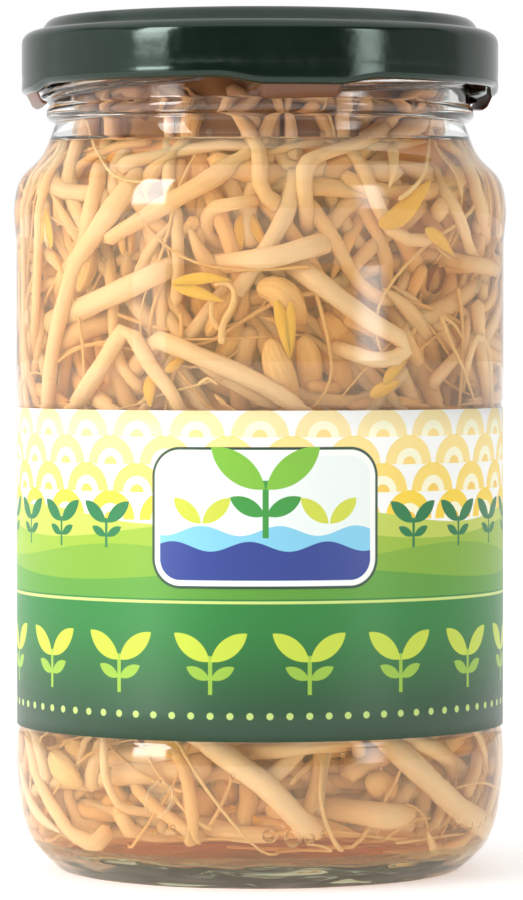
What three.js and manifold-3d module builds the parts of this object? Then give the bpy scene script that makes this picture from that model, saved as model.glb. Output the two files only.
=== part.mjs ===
// A 370 ml round jar of pickled bean sprouts: glass jar, four-lug twist-off lid with its sealing ring,
// wrap-round label, brine, one tangled bunch of sprouts and the few that lie loose above it.
// Millimetres, +Z up, origin at the centre of the base. The front is -Y.
import * as THREE from "three";
import { mergeVertices } from "three/addons/utils/BufferGeometryUtils.js";
import Module from "manifold-3d";

// ---- Driving dimensions ----
const ROUND_SEGMENTS = 40;
const LIQUID_SEGMENTS = 32;
const GAP = 0.3; // between pieces that touch
const FLATNESS = 0.01; // faces this close to one plane are merged after a join

const JAR = {
  bearingInner: 27.6,
  bearingOuter: 29.4,
  pushUp: 2.6, // height of the hollow under the base
  heelR: 36.0,
  heelTop: 16.0,
  bodyR: 35.8,
  panelR: 35.35, // recessed panel that carries the label
  shoulderStart: 92.4,
  shoulderR: 36.15,
  neckR: 30.0,
  neckBottom: 107.2,
  neckTop: 109.6,
  beadR: 31.4,
  beadZ: 110.9,
  finishR: 30.9,
  rimTop: 121.2,
  rimRound: 0.9,
  wall: 2.1,
  floorZ: 4.3, // inside of the base near the wall
  floorCrown: 1.4, // rise of the inside of the base at the centre
};

const THREAD = {
  count: 4,
  crestR: 32.5,
  height: 1.5,
  lowZ: 112.5, // underside of the thread over the middle of a closed lug
  risePerDeg: 0.03,
  from: -12, // degrees from the closed lug's middle
  to: 64,
  steps: 12,
};

const LID = {
  skirtR: 35.0,
  sheet: 0.35,
  panelZ: 123.7,
  ringTop: 124.68,
  creaseR: 32.1,
  creaseZ: 123.0,
  shoulderZ: 120.9,
  curlBottom: 113.5,
  curlWidth: 1.9,
  curlTop: 115.5,
  buttonR: 10.5,
  buttonDip: 0.55, // the vacuum holds the button down
};

const LUG = {
  middleDeg: 10, // from the front, towards +X
  halfWidthDeg: 10,
  tipR: 31.9,
  rootR: 34.2,
  rootZ: 114.3,
  thick: 0.6,
};

const LABEL = { bottom: 21.4, top: 67.84, thick: 0.16, overlapDeg: 8, overlapStep: 0.26 };

const BRINE = { level: 105.3, sleeve: 0.8 };

const TANGLE = {
  sprouts: 35,
  coreInset: 6.6, // from the sprouts' outermost reach to the core
  ridges: 13,
  ridgeDepth: 2.2,
  coreTop: 103,
  stemR: 1.6,
  lowest: 8,
  highest: 107,
  seed: 20261,
};

// ---- Solids ----
const wasm = await Module();
wasm.setup();

function toSolid(geometry) {
  const bare = geometry.index ? geometry.toNonIndexed() : geometry.clone();
  bare.deleteAttribute("normal");
  bare.deleteAttribute("uv");
  const merged = mergeVertices(bare, 1e-4);
  const solid = new wasm.Manifold(
    new wasm.Mesh({
      numProp: 3,
      vertProperties: new Float32Array(merged.attributes.position.array),
      triVerts: new Uint32Array(merged.index.array),
    }),
  );
  if (solid.volume() <= 0) throw new Error("a solid is inside out");
  return solid;
}

function toGeometry(solid) {
  const mesh = solid.simplify(FLATNESS).getMesh();
  const geometry = new THREE.BufferGeometry();
  geometry.setAttribute("position", new THREE.BufferAttribute(mesh.vertProperties, 3));
  geometry.setIndex(new THREE.BufferAttribute(mesh.triVerts, 1));
  geometry.computeVertexNormals();
  return geometry;
}

const unite = (solids) => solids.reduce((sum, solid) => sum.add(solid));

// The largest body of a solid: scraps that a cut leaves loose are dropped.
function mainBody(solid) {
  return solid.decompose().sort((a, b) => b.volume() - a.volume())[0];
}

// An outline of (radius, height) points in which each bend states its own number of steps.
class Outline {
  constructor(x, y) {
    this.points = [v2(x, y)];
  }

  to(x, y) {
    this.points.push(v2(x, y));
    return this;
  }

  along(curve, steps) {
    this.points.push(...curve.getPoints(steps).slice(1));
    return this;
  }

  // A smooth line through places, with the same number of steps between each two.
  through(places, steps) {
    const spline = new THREE.SplineCurve([this.points.at(-1), ...places.map(([x, y]) => v2(x, y))]);
    return this.along(spline, steps * places.length);
  }

  bend(cornerX, cornerY, x, y, steps) {
    return this.along(new THREE.QuadraticBezierCurve(this.points.at(-1), v2(cornerX, cornerY), v2(x, y)), steps);
  }

  // An arc by its centre, radius and two angles in degrees.
  arc(x, y, radius, from, until, steps) {
    const rad = THREE.MathUtils.degToRad;
    this.points.push(
      ...new THREE.EllipseCurve(x, y, radius, radius, rad(from), rad(until), until < from).getPoints(steps),
    );
    return this;
  }
}

// Turns (radius, height) points round the Z axis. They run with the material on their left.
function revolve(points, segments = ROUND_SEGMENTS) {
  return new THREE.LatheGeometry(points, segments).rotateX(Math.PI / 2);
}

const polar = (radius, degrees, z) => {
  const a = THREE.MathUtils.degToRad(degrees - 90); // 0 degrees is the front, positive towards +X
  return new THREE.Vector3(radius * Math.cos(a), radius * Math.sin(a), z);
};

const v2 = (x, y) => new THREE.Vector2(x, y);

// A closed solid through rings of equal numbers of points, with a flat cap at each end.
function loft(rings) {
  const sides = rings[0].length;
  const positions = rings.flat().flatMap((p) => [p.x, p.y, p.z]);
  const index = [];
  for (let i = 0; i + 1 < rings.length; i++) {
    for (let j = 0; j < sides; j++) {
      const a = i * sides + j;
      const b = i * sides + ((j + 1) % sides);
      index.push(a, b, b + sides, a, b + sides, a + sides);
    }
  }
  const last = (rings.length - 1) * sides;
  for (let j = 1; j + 1 < sides; j++) {
    index.push(0, j + 1, j);
    index.push(last, last + j, last + j + 1);
  }
  const geometry = new THREE.BufferGeometry();
  geometry.setAttribute("position", new THREE.Float32BufferAttribute(positions, 3));
  geometry.setIndex(index);
  return geometry;
}

// A tube of changing radius along a curve.
function taperedTube(curve, steps, sides, radiusAt) {
  const frames = curve.computeFrenetFrames(steps, false);
  const rings = [];
  for (let i = 0; i <= steps; i++) {
    const t = i / steps;
    const centre = curve.getPointAt(t);
    const ring = [];
    for (let j = 0; j < sides; j++) {
      const a = (2 * Math.PI * j) / sides;
      ring.push(
        centre
          .clone()
          .addScaledVector(frames.normals[i], radiusAt(t) * Math.cos(a))
          .addScaledVector(frames.binormals[i], radiusAt(t) * Math.sin(a)),
      );
    }
    rings.push(ring);
  }
  return loft(rings);
}

// Mulberry32: a small seeded random number generator, 0 to 1.
function seeded(seed) {
  let state = seed;
  return () => {
    state = (state + 0x6d2b79f5) | 0;
    let t = Math.imul(state ^ (state >>> 15), 1 | state);
    t = (t + Math.imul(t ^ (t >>> 7), 61 | t)) ^ t;
    return ((t ^ (t >>> 14)) >>> 0) / 4294967296;
  };
}

// ---- Glass jar ----
const NECK_INSIDE = JAR.neckR - JAR.wall;
const BODY_INSIDE = JAR.bodyR - JAR.wall;

// The inside of the glass, from the neck down to the middle of the floor.
function addJarInside(outline) {
  return outline
    .to(NECK_INSIDE, JAR.neckBottom - 0.6)
    .through([[NECK_INSIDE + 2.6, 103.2], [BODY_INSIDE - 0.6, 99.9], [BODY_INSIDE, JAR.shoulderStart]], 2)
    .to(BODY_INSIDE, 12)
    .through([[BODY_INSIDE - 0.9, 7.2], [BODY_INSIDE - 3.4, JAR.floorZ]], 1)
    .bend(BODY_INSIDE * 0.5, JAR.floorZ + 0.2, 0, JAR.floorZ + JAR.floorCrown, 2);
}

function jarOutline() {
  const outline = new Outline(0, JAR.pushUp)
    .bend(22, JAR.pushUp, JAR.bearingInner, 0, 3)
    .to(JAR.bearingOuter, 0)
    .through([[33.3, 3.8], [35.2, 8.8], [JAR.heelR, JAR.heelTop]], 2)
    .to(JAR.bodyR, LABEL.bottom - 1.2)
    .to(JAR.panelR, LABEL.bottom - 0.5)
    .to(JAR.panelR, LABEL.top + 0.5)
    .to(JAR.bodyR, LABEL.top + 1.2)
    .to(JAR.bodyR, JAR.shoulderStart)
    .through([[JAR.shoulderR, 97.0], [35.2, 101.2], [31.9, 104.9], [JAR.neckR, JAR.neckTop]], 2)
    .arc(JAR.beadR - 1.3, JAR.beadZ, 1.3, -60, 50, 4)
    .arc(JAR.finishR - JAR.rimRound, JAR.rimTop - JAR.rimRound, JAR.rimRound, 0, 90, 2)
    .arc(NECK_INSIDE + JAR.rimRound, JAR.rimTop - JAR.rimRound, JAR.rimRound, 90, 180, 2);
  return addJarInside(outline).points;
}

// The height of a thread's underside, by its angle from the middle of the closed lug.
const threadLow = (degrees) => THREAD.lowZ + THREAD.risePerDeg * degrees;

// One inclined thread, rounded off at both ends and sunk into the wall of the finish.
function threadRidge(middleDeg) {
  const rings = [];
  const root = JAR.finishR - 0.8;
  for (let i = 0; i <= THREAD.steps; i++) {
    const t = i / THREAD.steps;
    const degrees = THREAD.from + (THREAD.to - THREAD.from) * t;
    const swell = Math.sqrt(Math.max(0, 1 - Math.pow(Math.abs(2 * t - 1), 8)));
    const crest = THREE.MathUtils.lerp(JAR.finishR + 0.35, THREAD.crestR, swell);
    const low = threadLow(degrees);
    const angle = middleDeg + degrees;
    rings.push([
      polar(root, angle, low + THREAD.height + 0.1),
      polar(crest, angle, low + THREAD.height - 0.5),
      polar(crest, angle, low + 0.45),
      polar(crest - 0.35, angle, low),
      polar(root, angle, low),
    ]);
  }
  return toSolid(loft(rings));
}

function makeJar() {
  const solids = [toSolid(revolve(jarOutline()))];
  for (let k = 0; k < THREAD.count; k++) solids.push(threadRidge(LUG.middleDeg + (360 / THREAD.count) * k));
  return toGeometry(unite(solids));
}

// ---- Twist-off lid ----
function lidOutline() {
  const s = LID.sheet;
  const inside = LID.skirtR - s;
  const curlR = LID.curlWidth / 2;
  // the underside from the axis outwards, the rolled curl, then back over the outside
  return new Outline(0, LID.panelZ - LID.buttonDip - s)
    .to(LID.buttonR - 2, LID.panelZ - LID.buttonDip - s)
    .to(LID.buttonR, LID.panelZ - s)
    .to(26.5, LID.panelZ - s)
    .to(29.2, LID.ringTop - s)
    .to(30.3, LID.ringTop - s)
    .to(LID.creaseR - 0.5, LID.creaseZ - s - 0.05)
    .bend(inside, LID.creaseZ - s, inside, LID.shoulderZ - 0.4, 3)
    .to(inside, LID.curlTop)
    .to(LID.skirtR - LID.curlWidth, LID.curlTop - 0.2)
    .arc(LID.skirtR - curlR, LID.curlBottom + curlR, curlR, 180, 360, 5)
    .to(LID.skirtR, LID.shoulderZ)
    .bend(LID.skirtR, LID.creaseZ - 0.15, LID.creaseR, LID.creaseZ, 4)
    .bend(31.3, LID.ringTop - 0.1, 30.4, LID.ringTop, 2)
    .to(29.0, LID.ringTop)
    .to(26.4, LID.panelZ)
    .to(LID.buttonR, LID.panelZ)
    .to(LID.buttonR - 2, LID.panelZ - LID.buttonDip)
    .to(0, LID.panelZ - LID.buttonDip).points;
}

// A lug: the curl pressed flat into a tongue that slopes in under the thread.
function lidLug(middleDeg) {
  const rings = [];
  const steps = 4;
  for (let i = 0; i <= steps; i++) {
    const u = (2 * i) / steps - 1;
    const degrees = LUG.halfWidthDeg * u;
    const tip = LUG.tipR + 0.5 * Math.pow(Math.abs(u), 3);
    const top = threadLow(degrees) - GAP + 0.04;
    const angle = middleDeg + degrees;
    rings.push([
      polar(tip, angle, top),
      polar(THREAD.crestR + 0.45, angle, top + 0.05),
      polar(THREAD.crestR + 0.7, angle, LUG.rootZ),
      polar(LUG.rootR, angle, LUG.rootZ),
      polar(LUG.rootR - 0.9, angle, top - LUG.thick + 0.4),
      polar(tip, angle, top - LUG.thick),
    ]);
  }
  return toSolid(loft(rings));
}

function makeLid() {
  const solids = [toSolid(revolve(lidOutline()))];
  for (let k = 0; k < THREAD.count; k++) solids.push(lidLug(LUG.middleDeg + (360 / THREAD.count) * k));
  return toGeometry(unite(solids));
}

// The flowed-in sealing ring between the lid and the rim.
function makeCompound() {
  const under = JAR.rimTop + GAP;
  const over = LID.creaseZ - LID.sheet - GAP - 0.1;
  const outline = new Outline(27.6, under + 0.2)
    .to(28.2, under)
    .to(31.2, under)
    .to(32.0, under - 0.5)
    .to(33.3, under - 0.1)
    .to(32.4, over - 0.15)
    .to(27.6, over)
    .to(27.6, under + 0.2);
  return revolve(outline.points);
}

// ---- Label ----
// A strip of paper that goes all the way round, its end glued over its start at the back.
function makeLabel() {
  const steps = 54;
  const total = 360 + LABEL.overlapDeg;
  const strip = [];
  for (let i = 0; i <= steps; i++) {
    const along = (total * i) / steps;
    const step = THREE.MathUtils.smoothstep(along, 360 - LABEL.overlapDeg, 359) * LABEL.overlapStep;
    strip.push({ a: THREE.MathUtils.degToRad(90 + along), r: JAR.panelR + GAP + step });
  }
  const ring = (extra) => strip.map(({ a, r }) => v2((r + extra) * Math.cos(a), (r + extra) * Math.sin(a)));
  const shape = new THREE.Shape([...ring(LABEL.thick), ...ring(0).reverse()]);
  const geometry = new THREE.ExtrudeGeometry(shape, { depth: LABEL.top - LABEL.bottom, bevelEnabled: false });
  return geometry.translate(0, 0, LABEL.bottom);
}

// ---- Brine ----
// The inside of the glass as (radius, height) points from the floor's middle up to a level, moved inwards.
function insideProfile(inset, top) {
  const points = addJarInside(new Outline(NECK_INSIDE, JAR.rimTop)).points.reverse();
  const moved = points.map((p, i) => {
    const before = points[Math.max(0, i - 1)];
    const after = points[Math.min(points.length - 1, i + 1)];
    const along = after.clone().sub(before).normalize();
    return v2(Math.max(0, p.x - along.y * inset), p.y + along.x * inset);
  });
  moved[0].x = 0;
  const kept = moved.filter((p) => p.y < top - 0.2);
  const last = kept.at(-1);
  const next = moved[kept.length];
  kept.push(v2(THREE.MathUtils.lerp(last.x, next.x, (top - last.y) / (next.y - last.y)), top));
  return kept;
}

// The brine that wets the glass, with one plain hole that the sprouts stand in.
function makeBrine() {
  const outside = insideProfile(GAP, BRINE.level);
  const hole = insideProfile(GAP + BRINE.sleeve, BRINE.level);
  return revolve([...outside, ...hole.reverse()], LIQUID_SEGMENTS);
}

// ---- Sprouts ----
// The farthest that sprouts reach from the axis at a height.
function reachAt(z) {
  const profile = insideProfile(2 * GAP + BRINE.sleeve + 0.1, JAR.rimTop - 3);
  for (let i = 1; i < profile.length; i++) {
    if (profile[i].y >= z && profile[i].y > profile[i - 1].y) {
      const t = THREE.MathUtils.clamp((z - profile[i - 1].y) / (profile[i].y - profile[i - 1].y), 0, 1);
      return THREE.MathUtils.lerp(profile[i - 1].x, profile[i].x, t);
    }
  }
  return profile[profile.length - 1].x;
}

const STEM_STEPS = 7;

// A flattened egg: one seed leaf of the bean.
function seedLeaf(centre, along, outward, length, width, thick) {
  const side = new THREE.Vector3().crossVectors(along, outward).normalize();
  const basis = new THREE.Matrix4().makeBasis(along, side, new THREE.Vector3().crossVectors(along, side));
  const geometry = new THREE.SphereGeometry(0.5, 6, 4).rotateZ(Math.PI / 2);
  geometry.scale(length, width, thick);
  return toSolid(geometry.applyMatrix4(basis).translate(centre.x, centre.y, centre.z));
}

// A young leaf: a pointed blade with a raised middle.
function youngLeaf(base, along, outward, length, width) {
  const side = new THREE.Vector3().crossVectors(along, outward).normalize();
  const place = (t, s, h) =>
    base
      .clone()
      .addScaledVector(along, t * length)
      .addScaledVector(side, s * width)
      .addScaledVector(outward, h);
  const section = (t, w) => [place(t, -w, 0), place(t, 0, 0.45), place(t, w, 0), place(t, 0, -0.45)];
  return toSolid(loft([section(0, 0.15), section(0.35, 0.5), section(0.7, 0.4), section(1, 0.08)]));
}

// One sprout: stem, seed leaves and young leaves at its head, a thin root at its foot.
// The stem bulges from footR to bulgeR off the axis and back to headR.
function makeSprout(plan) {
  const points = [];
  const count = 6;
  for (let i = 0; i <= count; i++) {
    const t = i / count;
    const out = Math.sin(Math.PI * Math.min(1, Math.max(0, t)));
    const ends = THREE.MathUtils.lerp(plan.footR, plan.headR, t);
    const z = THREE.MathUtils.lerp(plan.footZ, plan.headZ, t) + plan.waveZ * Math.sin(2 * Math.PI * t);
    const a = THREE.MathUtils.lerp(plan.footDeg, plan.headDeg, t) + plan.waveDeg * Math.sin(2 * Math.PI * t);
    const r = THREE.MathUtils.lerp(ends, plan.bulgeR, Math.pow(out, 0.6));
    points.push(polar(r, a, z));
  }
  const curve = new THREE.CatmullRomCurve3(points, false, "centripetal");
  const radius = (t) => plan.stemR * (0.62 + 0.38 * Math.sin(Math.PI * (0.12 + 0.76 * t)));
  const solids = [toSolid(taperedTube(curve, STEM_STEPS, 5, radius))];
  const head = curve.getPointAt(0.97);
  const along = curve.getTangentAt(0.97);
  const outward = new THREE.Vector3(head.x, head.y, 0).normalize();
  outward.addScaledVector(along, -outward.dot(along)).normalize();
  if (plan.seedLeaves) {
    const side = new THREE.Vector3().crossVectors(along, outward);
    for (const s of [-1, 1]) {
      const centre = head.clone().addScaledVector(along, 2.4).addScaledVector(side, s * 1.25);
      solids.push(seedLeaf(centre, along, side, 7.6, 4.4, 2.5));
    }
  }
  if (plan.leaves) {
    for (const s of [-1, 1]) {
      const turned = along.clone().applyAxisAngle(outward, s * 0.3);
      solids.push(youngLeaf(head, turned, outward, 8.5, 3.2));
    }
  }
  return unite(solids);
}

// Where a sprout's middle lies: spread evenly over the bunch by two irrational steps.
const SPREAD = { round: 0.7548776662, up: 0.569840291 };

// How steeply sprouts lie at a place, in degrees from level: neighbours lie nearly alike, in slow swirls.
function grainDeg(columnDeg, z) {
  const a = THREE.MathUtils.degToRad(columnDeg);
  return 68 * Math.sin(a + z / 21 + 0.6) + 22 * Math.sin(2 * a - z / 13);
}

function tanglePlan(index, random) {
  const column = 360 * ((index * SPREAD.round + 0.2) % 1);
  const low = TANGLE.lowest + 5;
  const high = TANGLE.highest - 12;
  const middleZ = low + (high - low) * ((index * SPREAD.up + 0.4) % 1);
  const length = 36 + 20 * random();
  const slope = THREE.MathUtils.degToRad(grainDeg(column, middleZ) + 24 * (random() - 0.5));
  const halfZ = (length / 2) * Math.sin(slope);
  const halfDeg = THREE.MathUtils.radToDeg(((length / 2) * Math.cos(slope)) / 29);
  const keepIn = (z) => THREE.MathUtils.clamp(z, TANGLE.lowest + 1, TANGLE.highest - 6);
  const footZ = keepIn(middleZ - halfZ);
  const headZ = keepIn(middleZ + halfZ);
  const inside = (z) => Math.min(reachAt(z), 32) - TANGLE.coreInset;
  const reach = Math.min(reachAt(footZ), reachAt(headZ), reachAt(middleZ)) - TANGLE.stemR - 0.2;
  return {
    footDeg: column - halfDeg,
    headDeg: column + halfDeg,
    footZ,
    headZ,
    footR: inside(footZ) - 0.3,
    headR: inside(headZ) + 1.8,
    bulgeR: reach - 1.8 * random(),
    waveZ: 3.5 * (random() - 0.5),
    waveDeg: 9 * (random() - 0.5),
    stemR: TANGLE.stemR * (0.85 + 0.3 * random()),
    seedLeaves: index % 5 < 2,
    leaves: index % 5 === 3,
  };
}

// The middle of the bunch, which the sprouts round it stand out of: stems packed side by side, as ridges
// that wind slowly round it.
function tangleCore() {
  const heights = [TANGLE.lowest, 13, 29, 46, 62, 78, 92, TANGLE.coreTop];
  const inset = [7, 1.2, 0, 0.8, 0, 0.8, 1.5, 4];
  const windDeg = 0.55; // per millimetre of height
  const rings = heights.map((z, i) => {
    const outer = Math.min(reachAt(z), 31.8) - TANGLE.coreInset - inset[i];
    const ring = [];
    for (let j = 0; j < 2 * TANGLE.ridges; j++) {
      const dip = j % 2 ? TANGLE.ridgeDepth : 0;
      ring.push(polar(outer - dip, (180 / TANGLE.ridges) * j + windDeg * z, z));
    }
    return ring;
  });
  return toSolid(loft(rings));
}

// The room inside the brine that the bunch is pressed into.
function tangleEnvelope() {
  const profile = insideProfile(2 * GAP + BRINE.sleeve + 0.1, TANGLE.highest);
  return toSolid(revolve([...profile, v2(0, TANGLE.highest)], LIQUID_SEGMENTS));
}

// A roll of split seed coat.
function makeHull(centre, turn, scale) {
  const length = 5.2 * scale;
  const shape = new THREE.Shape();
  shape.absarc(0, 0, 2.1 * scale, -0.4, Math.PI + 0.6, false);
  shape.absarc(0, 0, 1.4 * scale, Math.PI + 0.6, -0.4, true);
  const geometry = new THREE.ExtrudeGeometry(shape, { depth: length, curveSegments: 7, bevelEnabled: false });
  geometry.translate(0, 0, -length / 2);
  geometry.applyMatrix4(new THREE.Matrix4().makeRotationFromEuler(turn));
  return geometry.translate(centre.x, centre.y, centre.z);
}

const HULLS = {
  seed_hull_shoulder: { centre: polar(29.3, 52, 86.5), turn: new THREE.Euler(0.2, 0.3, 0.95), scale: 0.8 },
  seed_hull_neck: { centre: polar(24.3, -44, 109.0), turn: new THREE.Euler(1.2, 0.2, -0.8), scale: 0.75 },
};

function makeTangle() {
  const random = seeded(TANGLE.seed);
  const solids = [tangleCore()];
  for (let i = 0; i < TANGLE.sprouts; i++) solids.push(makeSprout(tanglePlan(i, random)));
  let bunch = unite(solids).intersect(tangleEnvelope());
  for (const { centre, turn, scale } of Object.values(HULLS)) {
    const pocket = new THREE.SphereGeometry(3.1 * scale + GAP, 8, 6).scale(1, 1, 1.25);
    pocket.applyMatrix4(new THREE.Matrix4().makeRotationFromEuler(turn)).translate(centre.x, centre.y, centre.z);
    bunch = bunch.subtract(toSolid(pocket));
  }
  return toGeometry(mainBody(bunch));
}

// Sprouts that lie loose on top of the bunch and stand a little out of the brine, one above the other.
const LOOSE = {
  sprout_top_arch: { deg: [-75, 78], z: [108.9, 109.1], lift: 1.6, off: 9, leaves: true },
  sprout_top_back: { deg: [128, -150], z: [108.9, 108.9], lift: 1.4, off: 14, seedLeaves: true },
  sprout_top_cross: { deg: [-118, 48], z: [113.2, 113.4], lift: 0.8, off: 2, seedLeaves: true },
  sprout_top_high: { deg: [152, 10], z: [116.8, 116.6], lift: 0.8, off: 5, leaves: true },
};

// A loose sprout spans the neck as a shallow arch between two places near the glass.
function makeLooseSprout({ deg, z, lift, off, seedLeaves, leaves }) {
  const ends = 23.2;
  const start = polar(ends, deg[0], z[0]);
  const end = polar(ends - 5, deg[1], z[1]);
  const middle = start.clone().add(end).multiplyScalar(0.5);
  const side = new THREE.Vector3(-(end.y - start.y), end.x - start.x, 0).normalize();
  if (side.dot(middle) < 0) side.negate();
  const curve = new THREE.CatmullRomCurve3([
    start,
    start.clone().lerp(middle, 0.5).addScaledVector(side, off * 0.5).add(new THREE.Vector3(0, 0, lift * 0.8)),
    middle.clone().addScaledVector(side, off * 0.35).add(new THREE.Vector3(0, 0, lift)),
    middle.clone().lerp(end, 0.5).addScaledVector(side, off * 0.2).add(new THREE.Vector3(0, 0, lift * 0.8)),
    end,
  ]);
  const radius = (t) => 1.35 * (0.7 + 0.3 * Math.sin(Math.PI * (0.12 + 0.76 * t)));
  const solids = [toSolid(taperedTube(curve, 8, 5, radius))];
  const along = curve.getTangentAt(1);
  const up = new THREE.Vector3(0, 0, 1).addScaledVector(along, -along.z).normalize();
  if (seedLeaves) {
    const across = new THREE.Vector3().crossVectors(along, up);
    for (const s of [-1, 1]) {
      const centre = end.clone().addScaledVector(along, 1.8).addScaledVector(across, s * 1.1);
      solids.push(seedLeaf(centre, along, across, 6.4, 2.6, 2.2));
    }
  }
  if (leaves) {
    for (const s of [-1, 1]) solids.push(youngLeaf(end, along.clone().applyAxisAngle(up, s * 0.3), up, 5.5, 2.4));
  }
  return toGeometry(unite(solids));
}

// ---- Materials and assembly ----
const finish = (color, roughness, metalness = 0, more = {}) =>
  new THREE.MeshStandardMaterial({ color, roughness, metalness, ...more });

const FINISHES = {
  glass: finish(0xdfe9e4, 0.05, 0, { transparent: true, opacity: 0.3, side: THREE.DoubleSide }),
  lidPaint: finish(0x1c2f28, 0.35, 0.2),
  compound: finish(0xd8d2c4, 0.7),
  label: finish(0xf4f2ee, 0.6),
  brine: finish(0xe9d9a8, 0.05, 0, { transparent: true, opacity: 0.35 }),
  sprout: finish(0xe6cfa8, 0.4),
  hull: finish(0x6d5a3a, 0.5),
};

function addPiece(group, name, geometry, material) {
  const mesh = new THREE.Mesh(geometry, material.clone());
  mesh.name = name;
  group.add(mesh);
}

function buildJarOfSprouts() {
  const group = new THREE.Group();
  addPiece(group, "jar", makeJar(), FINISHES.glass);
  addPiece(group, "lid", makeLid(), FINISHES.lidPaint);
  addPiece(group, "lid_compound", makeCompound(), FINISHES.compound);
  addPiece(group, "label", makeLabel(), FINISHES.label);
  addPiece(group, "brine", makeBrine(), FINISHES.brine);
  addPiece(group, "sprout_tangle", makeTangle(), FINISHES.sprout);
  for (const [name, plan] of Object.entries(LOOSE)) {
    addPiece(group, name, makeLooseSprout(plan), FINISHES.sprout);
  }
  for (const [name, { centre, turn, scale }] of Object.entries(HULLS)) {
    addPiece(group, name, makeHull(centre, turn, scale), FINISHES.hull);
  }
  return group;
}

export default buildJarOfSprouts();
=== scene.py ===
"""A jar of bean sprouts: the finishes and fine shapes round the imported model.

Lengths in the classes are millimetres, and meshes are made in metres. Azimuths are degrees round the jar
from its front (-Y), positive towards +X.
"""

from __future__ import annotations

import logging
import math
from dataclasses import dataclass, field
from enum import Enum
from typing import Callable, Sequence

import bmesh
import bpy
import numpy as np
from mathutils import Euler, Matrix, Vector

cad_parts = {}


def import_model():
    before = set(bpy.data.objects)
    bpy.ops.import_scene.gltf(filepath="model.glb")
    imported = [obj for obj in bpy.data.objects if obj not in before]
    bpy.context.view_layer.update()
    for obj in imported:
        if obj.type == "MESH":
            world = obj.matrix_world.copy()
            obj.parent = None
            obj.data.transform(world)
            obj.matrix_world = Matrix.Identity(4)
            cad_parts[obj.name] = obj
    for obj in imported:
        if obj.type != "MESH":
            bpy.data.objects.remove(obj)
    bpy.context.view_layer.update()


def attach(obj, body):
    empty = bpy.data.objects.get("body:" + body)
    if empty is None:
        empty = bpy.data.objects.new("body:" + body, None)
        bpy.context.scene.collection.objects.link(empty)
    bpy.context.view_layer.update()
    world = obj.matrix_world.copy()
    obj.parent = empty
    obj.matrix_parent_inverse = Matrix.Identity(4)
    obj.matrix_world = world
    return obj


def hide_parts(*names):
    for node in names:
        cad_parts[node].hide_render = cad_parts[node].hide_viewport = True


LOG = logging.getLogger("bean_sprout_jar")

MM = 0.001
JAR_BODY = "jar_body"
LID_RISE = "lid_rise"
LID_CAP = "lid_cap"
GLASS_IOR = 1.5
BRINE_IOR = 1.34

Pair = tuple[float, float]
Colour = tuple[float, float, float]
Socket = bpy.types.NodeSocket
Array = np.ndarray


class Slot(Enum):
    """The record's material slots."""

    GLASS = "glass"
    LID_PAINT = "lid_paint"
    COMPOUND = "sealing_compound"
    LABEL = "label_paper"
    BRINE = "brine"
    SPROUT = "sprout"
    SEED_COAT = "seed_coat"


# ---- Small tools ----


def between(before: Array, start: Array, end: Array, after: Array, t: object) -> Array:
    """Places on the smooth line from start to end.

    Args:
        before: The place before the start.
        start: Where the line starts.
        end: Where it ends.
        after: The place after the end.
        t: The share of the way, or an array of shares.

    Returns:
        The places.
    """
    lead, trail = (end - before) / 2, (after - start) / 2
    return (
        (2 * t**3 - 3 * t**2 + 1) * start
        + (t**3 - 2 * t**2 + t) * lead
        + (3 * t**2 - 2 * t**3) * end
        + (t**3 - t**2) * trail
    )


class Outline:
    """A profile of (radius, height) points, in which each bend states its own number of steps."""

    def __init__(self, radius: float, height: float) -> None:
        """Starts the profile at one point."""
        self.points: list[Pair] = [(radius, height)]

    def to(self, radius: float, height: float, steps: int = 1) -> Outline:
        """Goes straight to a point."""
        r0, z0 = self.points[-1]
        for k in range(1, steps + 1):
            self.points.append((r0 + (radius - r0) * k / steps, z0 + (height - z0) * k / steps))
        return self

    def through(self, places: Sequence[Pair], steps: int) -> Outline:
        """Goes on a smooth line through places, with the same number of steps between each two.

        Args:
            places: The places, after the last point so far.
            steps: Steps between each two.

        Returns:
            The profile.
        """
        line = [np.array(p) for p in [self.points[-1], *places]]
        for i in range(len(line) - 1):
            a, b = line[i], line[i + 1]
            before = line[max(0, i - 1)]
            after = line[min(len(line) - 1, i + 2)]
            for k in range(1, steps + 1):
                point = between(before, a, b, after, k / steps)
                self.points.append((float(point[0]), float(point[1])))
        return self

    def bend(self, corner: Pair, end: Pair, steps: int) -> Outline:
        """Goes on one bend that leans towards a corner.

        Args:
            corner: The corner it leans towards.
            end: Where it ends.
            steps: Its steps.

        Returns:
            The profile.
        """
        start = self.points[-1]
        for k in range(1, steps + 1):
            t = k / steps
            self.points.append(
                tuple(
                    (1 - t) ** 2 * start[i] + 2 * t * (1 - t) * corner[i] + t * t * end[i] for i in range(2)
                )
            )
        return self

    def arc(self, centre: Pair, radius: float, start: float, end: float, steps: int) -> Outline:
        """Goes round an arc given by its centre, radius and two angles in degrees."""
        for k in range(steps + 1):
            a = math.radians(start + (end - start) * k / steps)
            self.points.append((centre[0] + radius * math.cos(a), centre[1] + radius * math.sin(a)))
        return self


def on_circle(radius: float, azimuth: float, height: float) -> Vector:
    """A point in metres by its radius, azimuth in degrees and height."""
    a = math.radians(azimuth)
    return Vector((radius * math.sin(a), -radius * math.cos(a), height)) * MM


def smooth(t: float) -> float:
    """Eases a share between 0 and 1."""
    t = min(1.0, max(0.0, t))
    return t * t * (3 - 2 * t)


def face_out(bm: bmesh.types.BMesh) -> None:
    """Turns every face outward."""
    bmesh.ops.recalc_face_normals(bm, faces=bm.faces)


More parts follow.
